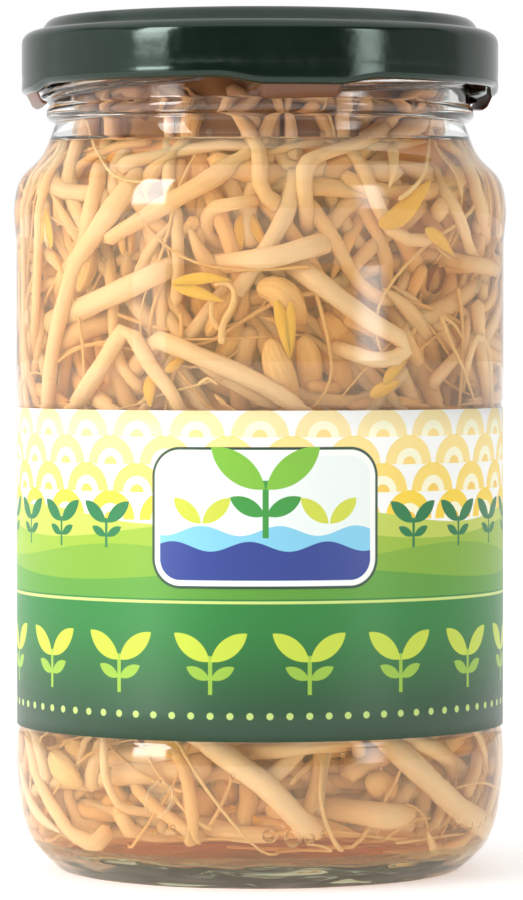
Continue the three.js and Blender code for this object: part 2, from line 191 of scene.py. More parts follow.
def spun(outline: Outline, segments: int) -> bmesh.types.BMesh:
    """Turns a profile round the Z axis.

    Args:
        outline: The profile, in millimetres.
        segments: Steps in a full turn.

    Returns:
        A mesh whose vertices hold their place along the profile in the whole-number layer "place".
    """
    bm = bmesh.new()
    place = bm.verts.layers.int.new("place")
    verts = []
    for index, (radius, height) in enumerate(outline.points):
        vert = bm.verts.new((0.0, -radius * MM, height * MM))
        vert[place] = index
        verts.append(vert)
    edges = [bm.edges.new(pair) for pair in zip(verts, verts[1:])]
    bmesh.ops.spin(
        bm,
        geom=verts + edges,
        cent=(0, 0, 0),
        axis=(0, 0, 1),
        angle=2 * math.pi,
        steps=segments,
        use_merge=True,
    )
    bmesh.ops.remove_doubles(bm, verts=bm.verts, dist=1e-7)
    face_out(bm)
    return bm


def add_piece(
    name: str,
    bm: bmesh.types.BMesh,
    materials: Sequence[bpy.types.Material],
    body: str,
    replaces: Sequence[str] = (),
) -> bpy.types.Object:
    """Makes an object of a mesh and fixes it to its body.

    Args:
        name: The piece's name.
        bm: Its mesh, in metres, which is freed.
        materials: Its materials, in the order of the faces' indices.
        body: The body it rides on.
        replaces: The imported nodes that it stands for.

    Returns:
        The new object.
    """
    mesh = bpy.data.meshes.new(name)
    bm.to_mesh(mesh)
    bm.free()
    for material in materials:
        mesh.materials.append(material)
    mesh.shade_smooth()
    piece = bpy.data.objects.new(name, mesh)
    bpy.context.scene.collection.objects.link(piece)
    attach(piece, body)
    if replaces:
        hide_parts(*replaces)
    LOG.info("%s: %d faces", name, len(mesh.polygons))
    return piece


# ---- Finishes ----


class Nodes:
    """A material's node tree, with short ways to add to it."""

    def __init__(self, name: str) -> None:
        """Starts an empty material."""
        self.material = bpy.data.materials.new(name)
        self.material.use_nodes = True
        self.tree = self.material.node_tree
        self.tree.nodes.clear()
        self.output = self.add("ShaderNodeOutputMaterial")

    def add(self, kind: str, **settings: object) -> bpy.types.Node:
        """Adds a node and sets its properties."""
        node = self.tree.nodes.new(kind)
        for key, value in settings.items():
            setattr(node, key, value)
        return node

    def link(self, start: Socket, end: Socket) -> None:
        """Joins two sockets."""
        self.tree.links.new(start, end)

    def put(self, socket: Socket, value: object) -> None:
        """Links a socket's source, or sets its number."""
        if isinstance(value, Socket):
            self.link(value, socket)
        else:
            socket.default_value = value

    def math(self, operation: str, *values: object) -> Socket:
        """Adds a Math node and returns its result."""
        node = self.add("ShaderNodeMath", operation=operation)
        for socket, value in zip(node.inputs, values):
            self.put(socket, value)
        return node.outputs[0]

    def times(self, first: object, second: object) -> Socket:
        """The product of two values."""
        return self.math("MULTIPLY", first, second)

    def minus(self, first: object, second: object) -> Socket:
        """The difference of two values."""
        return self.math("SUBTRACT", first, second)

    def most(self, first: object, second: object) -> Socket:
        """The larger of two values."""
        return self.math("MAXIMUM", first, second)

    def ramp(self, value: object, low: float, high: float, top: float = 1.0) -> Socket:
        """A soft step from 0 at low to a top at high."""
        node = self.add("ShaderNodeMapRange", interpolation_type="SMOOTHSTEP")
        for name, number in (("Value", value), ("From Min", low), ("From Max", high), ("To Max", top)):
            self.put(node.inputs[name], number)
        return node.outputs["Result"]

    def mix(self, share: object, first: object, second: object) -> Socket:
        """Mixes two colours.

        Args:
            share: How much of the second.
            first: The first colour.
            second: The second colour.

        Returns:
            The mixed colour.
        """
        node = self.add("ShaderNodeMix", data_type="RGBA")
        self.put(node.inputs[0], share)
        self.put(node.inputs[6], first)
        self.put(node.inputs[7], second)
        return node.outputs[2]

    def noise(self, vector: object, scale: float, detail: float = 2.0) -> Socket:
        """A noise value of a scale.

        Args:
            vector: Where it is read.
            scale: Its scale.
            detail: Its detail.

        Returns:
            Its value.
        """
        node = self.add("ShaderNodeTexNoise")
        node.inputs["Scale"].default_value = scale
        node.inputs["Detail"].default_value = detail
        self.put(node.inputs["Vector"], vector)
        return node.outputs["Fac"]

    def place(self, scale: Sequence[float] = (1, 1, 1)) -> Socket:
        """Object coordinates, stretched by a scale."""
        source = self.add("ShaderNodeTexCoord").outputs["Object"]
        node = self.add("ShaderNodeVectorMath", operation="MULTIPLY")
        self.link(source, node.inputs[0])
        node.inputs[1].default_value = scale
        return node.outputs[0]

    def split(self, vector: Socket) -> Sequence[Socket]:
        """The three numbers of a vector."""
        node = self.add("ShaderNodeSeparateXYZ")
        self.link(vector, node.inputs[0])
        return node.outputs

    def uv(self) -> Sequence[Socket]:
        """The numbers of the mesh's own UV map."""
        return self.split(self.add("ShaderNodeUVMap", uv_map="UVMap").outputs[0])

    def attribute(self, name: str) -> Socket:
        """A float attribute of the mesh."""
        return self.add("ShaderNodeAttribute", attribute_name=name).outputs["Fac"]

    def bump(self, height: object, distance: float) -> Socket:
        """A normal from a height, with its distance in metres."""
        node = self.add("ShaderNodeBump")
        node.inputs["Strength"].default_value = 1.0
        node.inputs["Distance"].default_value = distance
        self.put(node.inputs["Height"], height)
        return node.outputs["Normal"]

    def principled(self, **values: object) -> bpy.types.Node:
        """Adds the main shader, with its sockets named with _ for a space."""
        node = self.add("ShaderNodeBsdfPrincipled")
        for key, value in values.items():
            self.put(node.inputs[key.replace("_", " ")], value)
        return node

    def finish(self, shader: bpy.types.Node) -> bpy.types.Material:
        """Sends a shader to the surface and returns the material."""
        self.link(shader.outputs[0], self.output.inputs["Surface"])
        return self.material

    def finish_clear(self, shader: bpy.types.Node) -> bpy.types.Material:
        """Sends a clear shader to the surface, with lamplight and scattered light let straight through.

        Args:
            shader: The clear shader.

        Returns:
            The material.
        """
        through = self.add("ShaderNodeBsdfTransparent")
        path = self.add("ShaderNodeLightPath")
        last = shader.outputs[0]
        for ray in ("Is Shadow Ray", "Is Diffuse Ray"):
            mixer = self.add("ShaderNodeMixShader")
            self.link(path.outputs[ray], mixer.inputs[0])
            self.link(last, mixer.inputs[1])
            self.link(through.outputs[0], mixer.inputs[2])
            last = mixer.outputs[0]
        self.link(last, self.output.inputs["Surface"])
        return self.material

    def absorb(self, colour: Sequence[float], density: float) -> None:
        """Tints what light passes through."""
        node = self.add("ShaderNodeVolumeAbsorption")
        node.inputs["Color"].default_value = (*colour, 1.0)
        node.inputs["Density"].default_value = density
        self.link(node.outputs[0], self.output.inputs["Volume"])


@dataclass(frozen=True)
class Clear:
    """A clear surface: glass or liquid."""

    name: str
    ior: float
    roughness: float = 0.0
    ripple: float = 0.0
    tint: Colour = (1.0, 1.0, 1.0)
    absorbs: Colour | None = None
    density: float = 0.0
    haze: float = 0.0

    def make(self) -> bpy.types.Material:
        """Builds the material."""
        nodes = Nodes(self.name)
        shader = nodes.principled(
            Base_Color=(*self.tint, 1.0),
            Roughness=self.roughness,
            IOR=self.ior,
            Transmission_Weight=1.0 - self.haze,
        )
        if self.ripple:
            wave = nodes.noise(nodes.place((90, 90, 420)), 1.0, 1.0)
            nodes.put(shader.inputs["Normal"], nodes.bump(wave, self.ripple))
        if self.absorbs:
            nodes.absorb(self.absorbs, self.density)
        return nodes.finish_clear(shader)


@dataclass(frozen=True)
class SatinPaint:
    """Baked satin paint on tinplate, with a fine orange peel."""

    name: str
    colour: Colour
    roughness: float = 0.1
    peel: float = 0.000012
    sheen: Colour = (0.80, 1.0, 0.89)

    def make(self) -> bpy.types.Material:
        """Builds the material."""
        nodes = Nodes(self.name)
        cloud = nodes.noise(nodes.place(), 60.0, 3.0)
        light = tuple(c * 1.25 + 0.002 for c in self.colour)
        colour = nodes.mix(nodes.ramp(cloud, 0.35, 0.7), (*self.colour, 1.0), (*light, 1.0))
        peel = nodes.noise(nodes.place(), 700.0, 1.0)
        speck = nodes.ramp(nodes.noise(nodes.place((1, 1, 0.4)), 900.0, 2.0), 0.3, 0.8)
        rough = nodes.math("MULTIPLY_ADD", speck, 0.06, self.roughness)
        shader = nodes.principled(
            Base_Color=colour,
            Roughness=rough,
            Specular_Tint=(*self.sheen, 1.0),
            Normal=nodes.bump(peel, self.peel),
        )
        return nodes.finish(shader)


@dataclass(frozen=True)
class SoftCoat:
    """A dull, slightly uneven coat, such as lacquer or sealing compound."""

    name: str
    colour: Colour
    roughness: float = 0.5
    scale: float = 350.0

    def make(self) -> bpy.types.Material:
        """Builds the material."""
        nodes = Nodes(self.name)
        cloud = nodes.noise(nodes.place(), self.scale, 3.0)
        dark = tuple(c * 0.82 for c in self.colour)
        colour = nodes.mix(cloud, (*dark, 1.0), (*self.colour, 1.0))
        shader = nodes.principled(
            Base_Color=colour, Roughness=self.roughness, Normal=nodes.bump(cloud, 0.00005)
        )
        return nodes.finish(shader)


@dataclass(frozen=True)
class Flesh:
    """Pale, watery plant flesh: its colours run from one tone to the next; above the brine it browns, partly
    as drying and partly as painted shade in the neck, and near the lid it takes a painted shade.
    """

    name: str
    tones: tuple[Colour, ...]
    fibre: float = 0.1
    scatter: float = 0.55
    scatter_scale: float = 0.0016
    roughness: float = 0.42
    relief: float = 0.00012
    # Brown above the brine: partly the flesh drying, partly painted shade in the neck.
    dried_and_painted_shade: Colour = (0.60, 0.25, 0.05)
    dried_and_painted_shade_share: float = 0.72
    dried_and_painted_shade_over: Pair = (104.0, 107.5)
    # The dark tone and the heights over which it rises are painted shade: the shade that the lid casts in
    # the neck.
    dark: Colour = (0.26, 0.085, 0.028)
    lid_shade_share: float = 0.6
    lid_shade_over: Pair = (108.5, 114.5)
    stripes: float = 9.0

    def make(self) -> bpy.types.Material:
        """Builds the material."""
        nodes = Nodes(self.name)
        ramp = nodes.add("ShaderNodeValToRGB")
        nodes.link(nodes.attribute("tone"), ramp.inputs[0])
        stops = ramp.color_ramp.elements
        while len(stops) < len(self.tones):
            stops.new(0.5)
        for index, tone in enumerate(self.tones):
            stops[index].position = index / max(1, len(self.tones) - 1)
            stops[index].color = (*tone, 1.0)
        colour = ramp.outputs[0]
        grain = nodes.add("ShaderNodeCombineXYZ")
        nodes.link(nodes.times(nodes.uv()[0], self.stripes), grain.inputs[0])
        nodes.link(nodes.times(nodes.attribute("run"), 0.12), grain.inputs[1])
        nodes.link(nodes.times(nodes.attribute("tone"), 40.0), grain.inputs[2])
        fibre = nodes.noise(grain.outputs[0], 1.6, 3.0)
        blotch = nodes.noise(nodes.place(), 130.0, 2.0)
        shade = nodes.math("MULTIPLY_ADD", fibre, 2 * self.fibre, 1.0 - self.fibre)
        shade = nodes.times(shade, nodes.math("MULTIPLY_ADD", blotch, 0.22, 0.89))
        scaled = nodes.add("ShaderNodeVectorMath", operation="SCALE")
        nodes.link(colour, scaled.inputs[0])
        nodes.link(shade, scaled.inputs["Scale"])
        colour = scaled.outputs[0]
        height = nodes.split(nodes.place())[2]
        # Browns the flesh above the brine (partly drying, partly painted shade), then lays the painted shade
        # of the lid over it.
        for (low, high), share, tone in (
            (self.dried_and_painted_shade_over, self.dried_and_painted_shade_share, self.dried_and_painted_shade),
            (self.lid_shade_over, self.lid_shade_share, self.dark),
        ):
            rise = nodes.ramp(height, low * MM, high * MM)
            colour = nodes.mix(nodes.times(rise, share), colour, (*tone, 1.0))
        shader = nodes.principled(
            Base_Color=colour,
            Roughness=self.roughness,
            IOR=1.12,
            Subsurface_Weight=self.scatter,
            Subsurface_Scale=self.scatter_scale,
            Subsurface_Radius=(1.0, 0.8, 0.62),
            Normal=nodes.bump(fibre, self.relief),
        )
        return nodes.finish(shader)


STEM_TONES = ((0.84, 0.54, 0.30), (0.83, 0.59, 0.38), (0.82, 0.63, 0.46), (0.82, 0.68, 0.56))
STEM_FLESH = Flesh("stem_flesh", STEM_TONES)
# The core's flesh is painted shade: its tones are the stems' tones as they look in the shaded depths of the
# bunch, and its dark brown above the brine is painted shade in the neck.
SHADED_MIDDLE_FLESH = Flesh(
    "middle_flesh_painted_shade",
    ((0.82, 0.46, 0.17), (0.78, 0.42, 0.14)),
    fibre=0.25,
    scatter=0.0,
    relief=0.001,
    dried_and_painted_shade=(0.22, 0.075, 0.025),
    dried_and_painted_shade_share=0.85,
)
ROOT_FLESH = Flesh("root_flesh", ((0.80, 0.50, 0.25), (0.84, 0.62, 0.38)), scatter=0.2)
SEED_TONES = ((0.84, 0.51, 0.23), (0.84, 0.56, 0.29), (0.84, 0.61, 0.36))
SEED_FLESH = Flesh("seed_leaf_flesh", SEED_TONES, fibre=0.2, stripes=13.0, relief=0.0005)
LEAF_TONES = ((0.85, 0.42, 0.05), (0.87, 0.49, 0.09), (0.87, 0.57, 0.18))
YELLOW_LEAF = Flesh("young_leaf_flesh", LEAF_TONES, fibre=0.16)


@dataclass(frozen=True)
class HullSkin:
    """The thin olive coat of a seed, darker along its edge."""

    name: str
    middle: Colour = (0.56, 0.30, 0.10)
    edge: Colour = (0.26, 0.07, 0.035)

    def make(self) -> bpy.types.Material:
        """Builds the material."""
        nodes = Nodes(self.name)
        off = nodes.math("ABSOLUTE", nodes.minus(nodes.uv()[0], 0.5))
        cloud = nodes.noise(nodes.place(), 500.0, 3.0)
        share = nodes.ramp(nodes.math("MULTIPLY_ADD", cloud, 0.15, off), 0.3, 0.55)
        colour = nodes.mix(share, (*self.middle, 1.0), (*self.edge, 1.0))
        relief = nodes.bump(cloud, 0.0001)
        return nodes.finish(nodes.principled(Base_Color=colour, Roughness=0.35, IOR=1.2, Normal=relief))


class RoomNodes(Nodes):
    """The world's node tree, with the same short ways to add to it."""

    def __init__(self, name: str) -> None:
        """Starts an empty world."""
        world = bpy.data.worlds.new(name)
        bpy.context.scene.world = world
        world.use_nodes = True
        self.tree = world.node_tree
        self.tree.nodes.clear()
        self.output = self.add("ShaderNodeOutputWorld")


# ---- Jar, brine, lid and sealing ring ----


@dataclass
class GlassJar:
    """The round jar, its neck bead and its four-start finish."""

    bearing: Pair = (27.6, 29.4)
    push_up: float = 2.6
    heel: Pair = (36.0, 16.0)
    body_r: float = 35.8
    panel_r: float = 35.6
    panel: Pair = (20.9, 68.34)
    shoulder_start: float = 92.4
    shoulder_r: float = 36.15
    neck_r: float = 30.0
    neck_top: float = 109.6
    bead_r: float = 31.4
    bead_z: float = 110.9
    bead_round: float = 1.3
    finish_r: float = 30.9
    rim_top: float = 121.2
    rim_round: float = 0.9
    foot_z: float = 5.0
    wall: float = 2.1
    floor_z: float = 4.3
    floor_crown: float = 1.4
    thread_count: int = 4
    thread_crest: float = 32.5
    thread_height: float = 1.5
    thread_low: float = 112.5
    thread_rise: float = 0.03
    thread_span: Pair = (-12.0, 64.0)
    lug_middle: float = 10.0
    segments: int = 240

    @property
    def neck_inside(self) -> float:
        """The inside radius of the neck."""
        return self.neck_r - self.wall

    @property
    def body_inside(self) -> float:
        """The inside radius of the body."""
        return self.body_r - self.wall

    def inside(self, outline: Outline) -> Outline:
        """Adds the inside of the glass, from the rim down to the middle of the floor.

        Args:
            outline: The outside's profile, or a profile's start.

        Returns:
            The same profile, gone on with.
        """
        neck, body = self.neck_inside, self.body_inside
        return (
            outline.to(neck, 106.6, 5)
            .through([(neck + 2.6, 103.2), (body - 0.6, 99.9), (body, self.shoulder_start)], 8)
            .to(body, 12.0, 4)
            .through([(body - 0.9, 7.2), (body - 3.4, self.floor_z)], 6)
            .bend((body * 0.5, self.floor_z + 0.2), (0.0, self.floor_z + self.floor_crown), 12)
        )

    def outside(self) -> Outline:
        """The outside of the glass, from the middle of the base up to the rim."""
        (low, high), neck = self.panel, self.neck_top
        outline = (
            Outline(0.0, self.push_up)
            .bend((22.0, self.push_up), (self.bearing[0], 0.35), 10)
            .bend((self.bearing[0] + 0.2, 0.0), (self.bearing[0] + 0.7, 0.0), 3)
            .to(self.bearing[1] - 0.4, 0.0)
            .bend((self.bearing[1] + 0.2, 0.0), (self.bearing[1] + 0.7, 0.55), 3)
            .through([(33.3, 3.8), (35.2, 8.8), self.heel], 8)
            .to(self.body_r, low - 0.7, 2)
            .through([(self.body_r - 0.17, low - 0.1), (self.panel_r, low + 0.5)], 4)
            .to(self.panel_r, high - 0.5, 4)
            .through([(self.body_r - 0.17, high + 0.1), (self.body_r, high + 0.7)], 4)
            .to(self.body_r, self.shoulder_start, 4)
            .through([(self.shoulder_r, 97.0), (35.2, 101.2), (31.9, 104.9), (self.neck_r, neck)], 8)
            .arc((self.bead_r - self.bead_round, self.bead_z), self.bead_round, -60, 50, 12)
            .to(self.finish_r, self.bead_z + 1.2)
            .to(self.finish_r, self.rim_top - self.rim_round, 44)
        )
        turn = self.rim_round
        outline.arc((self.finish_r - turn, self.rim_top - turn), turn, 8, 90, 5)
        return outline.arc((self.neck_inside + turn, self.rim_top - turn), turn, 90, 180, 6)

    def thread_bump(self, azimuth: float, height: float) -> float:
        """How far a thread stands out of the finish at a place, in millimetres.

        Args:
            azimuth: Degrees round the jar.
            height: Its height.

        Returns:
            Millimetres out.
        """
        start, end = self.thread_span
        spacing = 360.0 / self.thread_count
        bump = 0.0
        for turn in range(-1, 2):
            along = (azimuth - self.lug_middle) % spacing + turn * spacing
            if not start < along < end:
                continue
            swell = 1 - abs(2 * (along - start) / (end - start) - 1) ** 8
            up = height - self.thread_low - self.thread_rise * along
            rise = smooth(up / 0.5) * smooth((self.thread_height - up) / 0.6)
            bump = max(bump, swell * rise)
        return bump * (self.thread_crest - self.finish_r)

    def build(self, liquid_top: float) -> bpy.types.Object:
        """Builds the glass.

        Args:
            liquid_top: The height up to which the inside is wet.

        Returns:
            The piece.
        """
        outline = self.outside()
        outside_points = len(outline.points)
        self.inside(outline)
        bm = spun(outline, self.segments)
        place = bm.verts.layers.int["place"]
        for vert in bm.verts:
            x, y, z = (c / MM for c in vert.co)
            if vert[place] < outside_points and self.thread_low - 1.5 < z < self.rim_top - self.rim_round:
                radius = math.hypot(x, y)
                bump = self.thread_bump(math.degrees(math.atan2(x, -y)), z)
                vert.co.x *= 1 + bump / radius
                vert.co.y *= 1 + bump / radius
        for face in bm.faces:
            if max(v[place] for v in face.verts) >= outside_points:
                wet = face.calc_center_median().z < liquid_top * MM
                face.material_index = 2 if wet else 1
            elif face.calc_center_median().z < self.foot_z * MM:
                face.material_index = 3
        tint = (0.965, 0.985, 0.965)
        materials = [
            Clear("glass_outside", GLASS_IOR, ripple=0.00001, tint=tint).make(),
            Clear("glass_inside_dry", GLASS_IOR, ripple=0.000015, tint=tint).make(),
            Clear("glass_inside_wet", GLASS_IOR / BRINE_IOR, tint=tint).make(),
            Clear("glass_foot", GLASS_IOR, 0.03, 0.0007, (0.56, 0.62, 0.42), haze=0.1).make(),
        ]
        return add_piece("glass_jar", bm, materials, JAR_BODY, ["jar"])


@dataclass
class Brine:
    """The liquid that fills the jar round the sprouts, with its surface drawn up at the glass."""

    level: float = 105.5
    meniscus: float = 0.5
    skin: float = 0.03
    segments: int = 160
    bubble_gap: float = 0.1
    # For each bubble: across and up in millimetres, as seen from the front, and the radius.
    bubbles: tuple[tuple[float, float, float], ...] = (
        (1.2, 4.7, 0.95), (4.6, 4.0, 1.25), (6.9, 4.2, 0.8), (3.0, 5.9, 0.45), (8.7, 5.1, 0.4),
        (28.4, 6.6, 0.7), (30.3, 6.2, 0.75), (31.8, 6.5, 0.6), (33.1, 7.3, 0.45), (-12.4, 6.0, 0.4),
        (-4.0, 13.4, 0.35), (12.3, 16.4, 0.4),
    )

    @property
    def top(self) -> float:
        """The height up to which the glass is wet."""
        return self.level + self.meniscus

    def build(self, jar: GlassJar) -> bpy.types.Object:
        """Builds the liquid inside a jar.

        Args:
            jar: The jar that holds it.

        Returns:
            The piece.
        """
        wall = jar.inside(Outline(jar.neck_inside, jar.rim_top)).points[::-1]
        outline = Outline(0.0, wall[0][1] + self.skin)
        for radius, height in wall[1:]:
            if height + self.skin < self.top - 0.5:
                outline.points.append((radius - self.skin, height + self.skin))
        edge = float(np.interp(self.top, [p[1] for p in wall[20:]], [p[0] for p in wall[20:]])) - self.skin
        side_points = len(outline.points) + 1
        outline.points.append((edge, self.top))
        outline.through(
            [(edge - 0.35, self.level + 0.22), (edge - 1.1, self.level + 0.04), (edge - 2.4, self.level)], 4
        ).to(0.0, self.level, 6)
        bm = spun(outline, self.segments)
        place = bm.verts.layers.int["place"]
        for face in bm.faces:
            face.material_index = int(max(v[place] for v in face.verts) >= side_points)
        view = FrontView(InnerWall(jar))
        for across, up, radius in self.bubbles:
            depth = radius + self.bubble_gap
            seen = [np.array([value]) for value in (across, up, depth)]
            spots, inward = view.wall.at(view.azimuth(*seen), view.wall.run_at(view.height(*seen)))
            centre = Vector(spots[0] + inward[0] * depth) * MM
            made = bmesh.ops.create_icosphere(
                bm, subdivisions=3, radius=radius * MM, matrix=Matrix.Translation(centre)
            )
            for face in {face for vert in made["verts"] for face in vert.link_faces}:
                face.material_index = 2
        tint, absorbs = (0.96, 0.71, 0.38), (0.90, 0.60, 0.22)
        side = Clear("brine_at_glass", 1.0, tint=tint, absorbs=absorbs, density=95.0, haze=0.14)
        surface, bubble = Clear("brine_surface", BRINE_IOR), Clear("brine_bubble", 1.0 / BRINE_IOR)
        materials = [finish.make() for finish in (side, surface, bubble)]
        return add_piece("brine_fill", bm, materials, JAR_BODY, ["brine"])


@dataclass
class TwistOffLid:
    """The pressed tinplate lid: a panel with its button, a beaded edge, a rolled curl and four lugs."""

    skirt_r: float = 35.0
    sheet: float = 0.35
    panel_z: float = 123.7
    ring_top: float = 124.68
    crease: Pair = (32.1, 123.0)
    shoulder_z: float = 120.9
    curl_bottom: float = 113.5
    curl_width: float = 1.9
    curl_top: float = 115.5
    button_r: float = 10.5
    button_dip: float = 0.55
    edge_lift: float = 1.0
    lug_half: float = 10.0
    lug_tip: float = 31.9
    lug_thick: float = 0.6
    segments: int = 288

    def outline(self) -> tuple[Outline, int]:
        """The lid's section, and how many of its points belong to the inside."""
        s, inside, curl = self.sheet, self.skirt_r - self.sheet, self.curl_width / 2
        crease_r, crease_z = self.crease
        line = (
            Outline(0.0, self.panel_z - self.button_dip - s)
            .to(self.button_r - 2, self.panel_z - self.button_dip - s)
            .to(self.button_r, self.panel_z - s)
            .to(26.5, self.panel_z - s)
            .to(29.2, self.ring_top - s)
            .to(30.3, self.ring_top - s)
            .to(crease_r - 0.5, crease_z - s - 0.05)
            .bend((inside, crease_z - s), (inside, self.shoulder_z - 0.4), 6)
            .to(inside, self.curl_top + 0.6)
            .bend((inside, self.curl_top), (self.skirt_r - self.curl_width + 0.2, self.curl_top - 0.1), 4)
        )
        inner = len(line.points)
        line.arc((self.skirt_r - curl, self.curl_bottom + curl), curl, 170, 360, 14)
        line.to(self.skirt_r - 0.05, self.curl_top + 0.3, 2).to(self.skirt_r, self.curl_top + 1.2)
        line.to(self.skirt_r, self.shoulder_z, 3)
        line.bend((self.skirt_r, crease_z - 0.15), (crease_r + 0.15, crease_z - 0.02), 10)
        line.bend((crease_r, crease_z - 0.08), (crease_r - 0.1, crease_z + 0.1), 3)
        line.bend((31.3, self.ring_top - 0.1), (30.4, self.ring_top), 5).to(29.2, self.ring_top)
        line.bend((28.2, self.ring_top), (27.3, self.panel_z + 0.3), 4)
        line.bend((26.8, self.panel_z), (26.0, self.panel_z), 3).to(self.button_r + 0.4, self.panel_z, 3)
        dip = self.panel_z - self.button_dip
        line.bend((self.button_r - 0.6, self.panel_z), (self.button_r - 2, dip), 4)
        return line.to(0.0, dip, 2), inner

    def lug(self, bm: bmesh.types.BMesh, jar: GlassJar, middle: float) -> None:
        """Adds a lug: the curl pressed flat into a tongue that slopes in under a thread.

        Args:
            bm: The lid's mesh.
            jar: The jar whose thread it grips.
            middle: Its azimuth.
        """
        across, round_it = 14, 12
        grid = bmesh.ops.create_grid(bm, x_segments=across, y_segments=round_it, size=1.0)
        top_at = jar.thread_low - 0.26
        for vert in grid["verts"]:
            u, turn = vert.co.x, math.pi * (vert.co.y + 1)
            share = 0.5 - 0.5 * math.cos(turn)
            edge = math.sqrt(max(0.0, 1 - abs(u) ** 7))
            azimuth = middle + self.lug_half * (0.1 + 0.9 * math.sqrt(max(0.0, 1 - share**4 * 0.35))) * u
            tip = self.lug_tip + 0.6 * abs(u) ** 3
            root = self.skirt_r - 0.35
            radius = root + (tip - root) * share
            slope = top_at + jar.thread_rise * self.lug_half * u * share
            root_z = self.curl_bottom + 0.9
            middle_z = root_z + (slope - self.lug_thick / 2 - root_z) * smooth(share * 1.5)
            half = (0.85 + (self.lug_thick / 2 - 0.85) * smooth(share * 1.7)) * edge
            height = middle_z + half * math.sin(turn) * min(1.0, 1.6 * math.sqrt(max(0.0, 1.0 - share**6)))
            vert.co = on_circle(radius, azimuth, height)
        bmesh.ops.remove_doubles(bm, verts=grid["verts"], dist=1e-6)

    def build(self, jar: GlassJar) -> bpy.types.Object:
        """Builds the lid.

        Args:
            jar: The jar that it closes.

        Returns:
            The piece.
        """
        outline, inner = self.outline()
        bm = spun(outline, self.segments)
        place = bm.verts.layers.int["place"]
        for face in bm.faces:
            face.material_index = int(max(v[place] for v in face.verts) < inner)
        for vert in bm.verts:
            azimuth = math.degrees(math.atan2(vert.co.x, -vert.co.y))
            spacing = 360.0 / jar.thread_count
            off = abs((azimuth - jar.lug_middle + spacing / 2) % spacing - spacing / 2)
            share = smooth((self.curl_top + 1.4 - vert.co.z / MM) / 2.6)
            vert.co.z += self.edge_lift * MM * share * smooth((off - self.lug_half + 2) / 12)
        sheet_faces = len(bm.faces)
        for k in range(jar.thread_count):
            self.lug(bm, jar, jar.lug_middle + 360.0 / jar.thread_count * k)
        bm.faces.ensure_lookup_table()
        for face in bm.faces[sheet_faces:]:
            face.material_index = 1
        face_out(bm)
        materials = [
            SatinPaint("lid_green_paint", (0.0042, 0.0112, 0.0066)).make(),
            # The inside lacquer's dark brown is partly its own colour and partly painted shade under the
            # lid.
            SoftCoat("lid_inner_lacquer_and_shade", (0.16, 0.06, 0.025), 0.35).make(),
        ]
        return add_piece("twist_off_lid", bm, materials, LID_CAP, ["lid"])


@dataclass
class SealingRing:
    """The flowed-in ring between the lid and the rim, pressed in by the rim."""

    under: float = 121.5
    over: float = 122.25
    segments: int = 192

    def build(self) -> bpy.types.Object:
        """Builds the ring."""
        under, over = self.under, self.over
        groove = [(31.7, under - 0.35), (32.1, under - 0.5), (32.9, under - 0.35), (33.25, under - 0.1)]
        outline = (
            Outline(27.6, under + 0.2)
            .bend((27.7, under), (28.2, under), 3)
            .to(31.2, under)
            .through(groove, 3)
            .bend((33.1, over - 0.25), (32.3, over - 0.12), 4)
            .to(27.9, over)
            .bend((27.6, over), (27.6, over - 0.2), 3)
        )
        outline.to(27.6, under + 0.2)
        bm = spun(outline, self.segments)
        material = SoftCoat("sealing_compound", (0.66, 0.6, 0.5), 0.6).make()
        return add_piece("sealing_ring", bm, [material], LID_RISE, ["lid_compound"])


# ---- Label ----


def srgb(red: int, green: int, blue: int) -> tuple[float, float, float, float]:
    """A colour for a shader, from its values on a screen."""
    shares = [value / 255 for value in (red, green, blue)]
    return (*(((c + 0.055) / 1.055) ** 2.4 if c > 0.04045 else c / 12.92 for c in shares), 1.0)


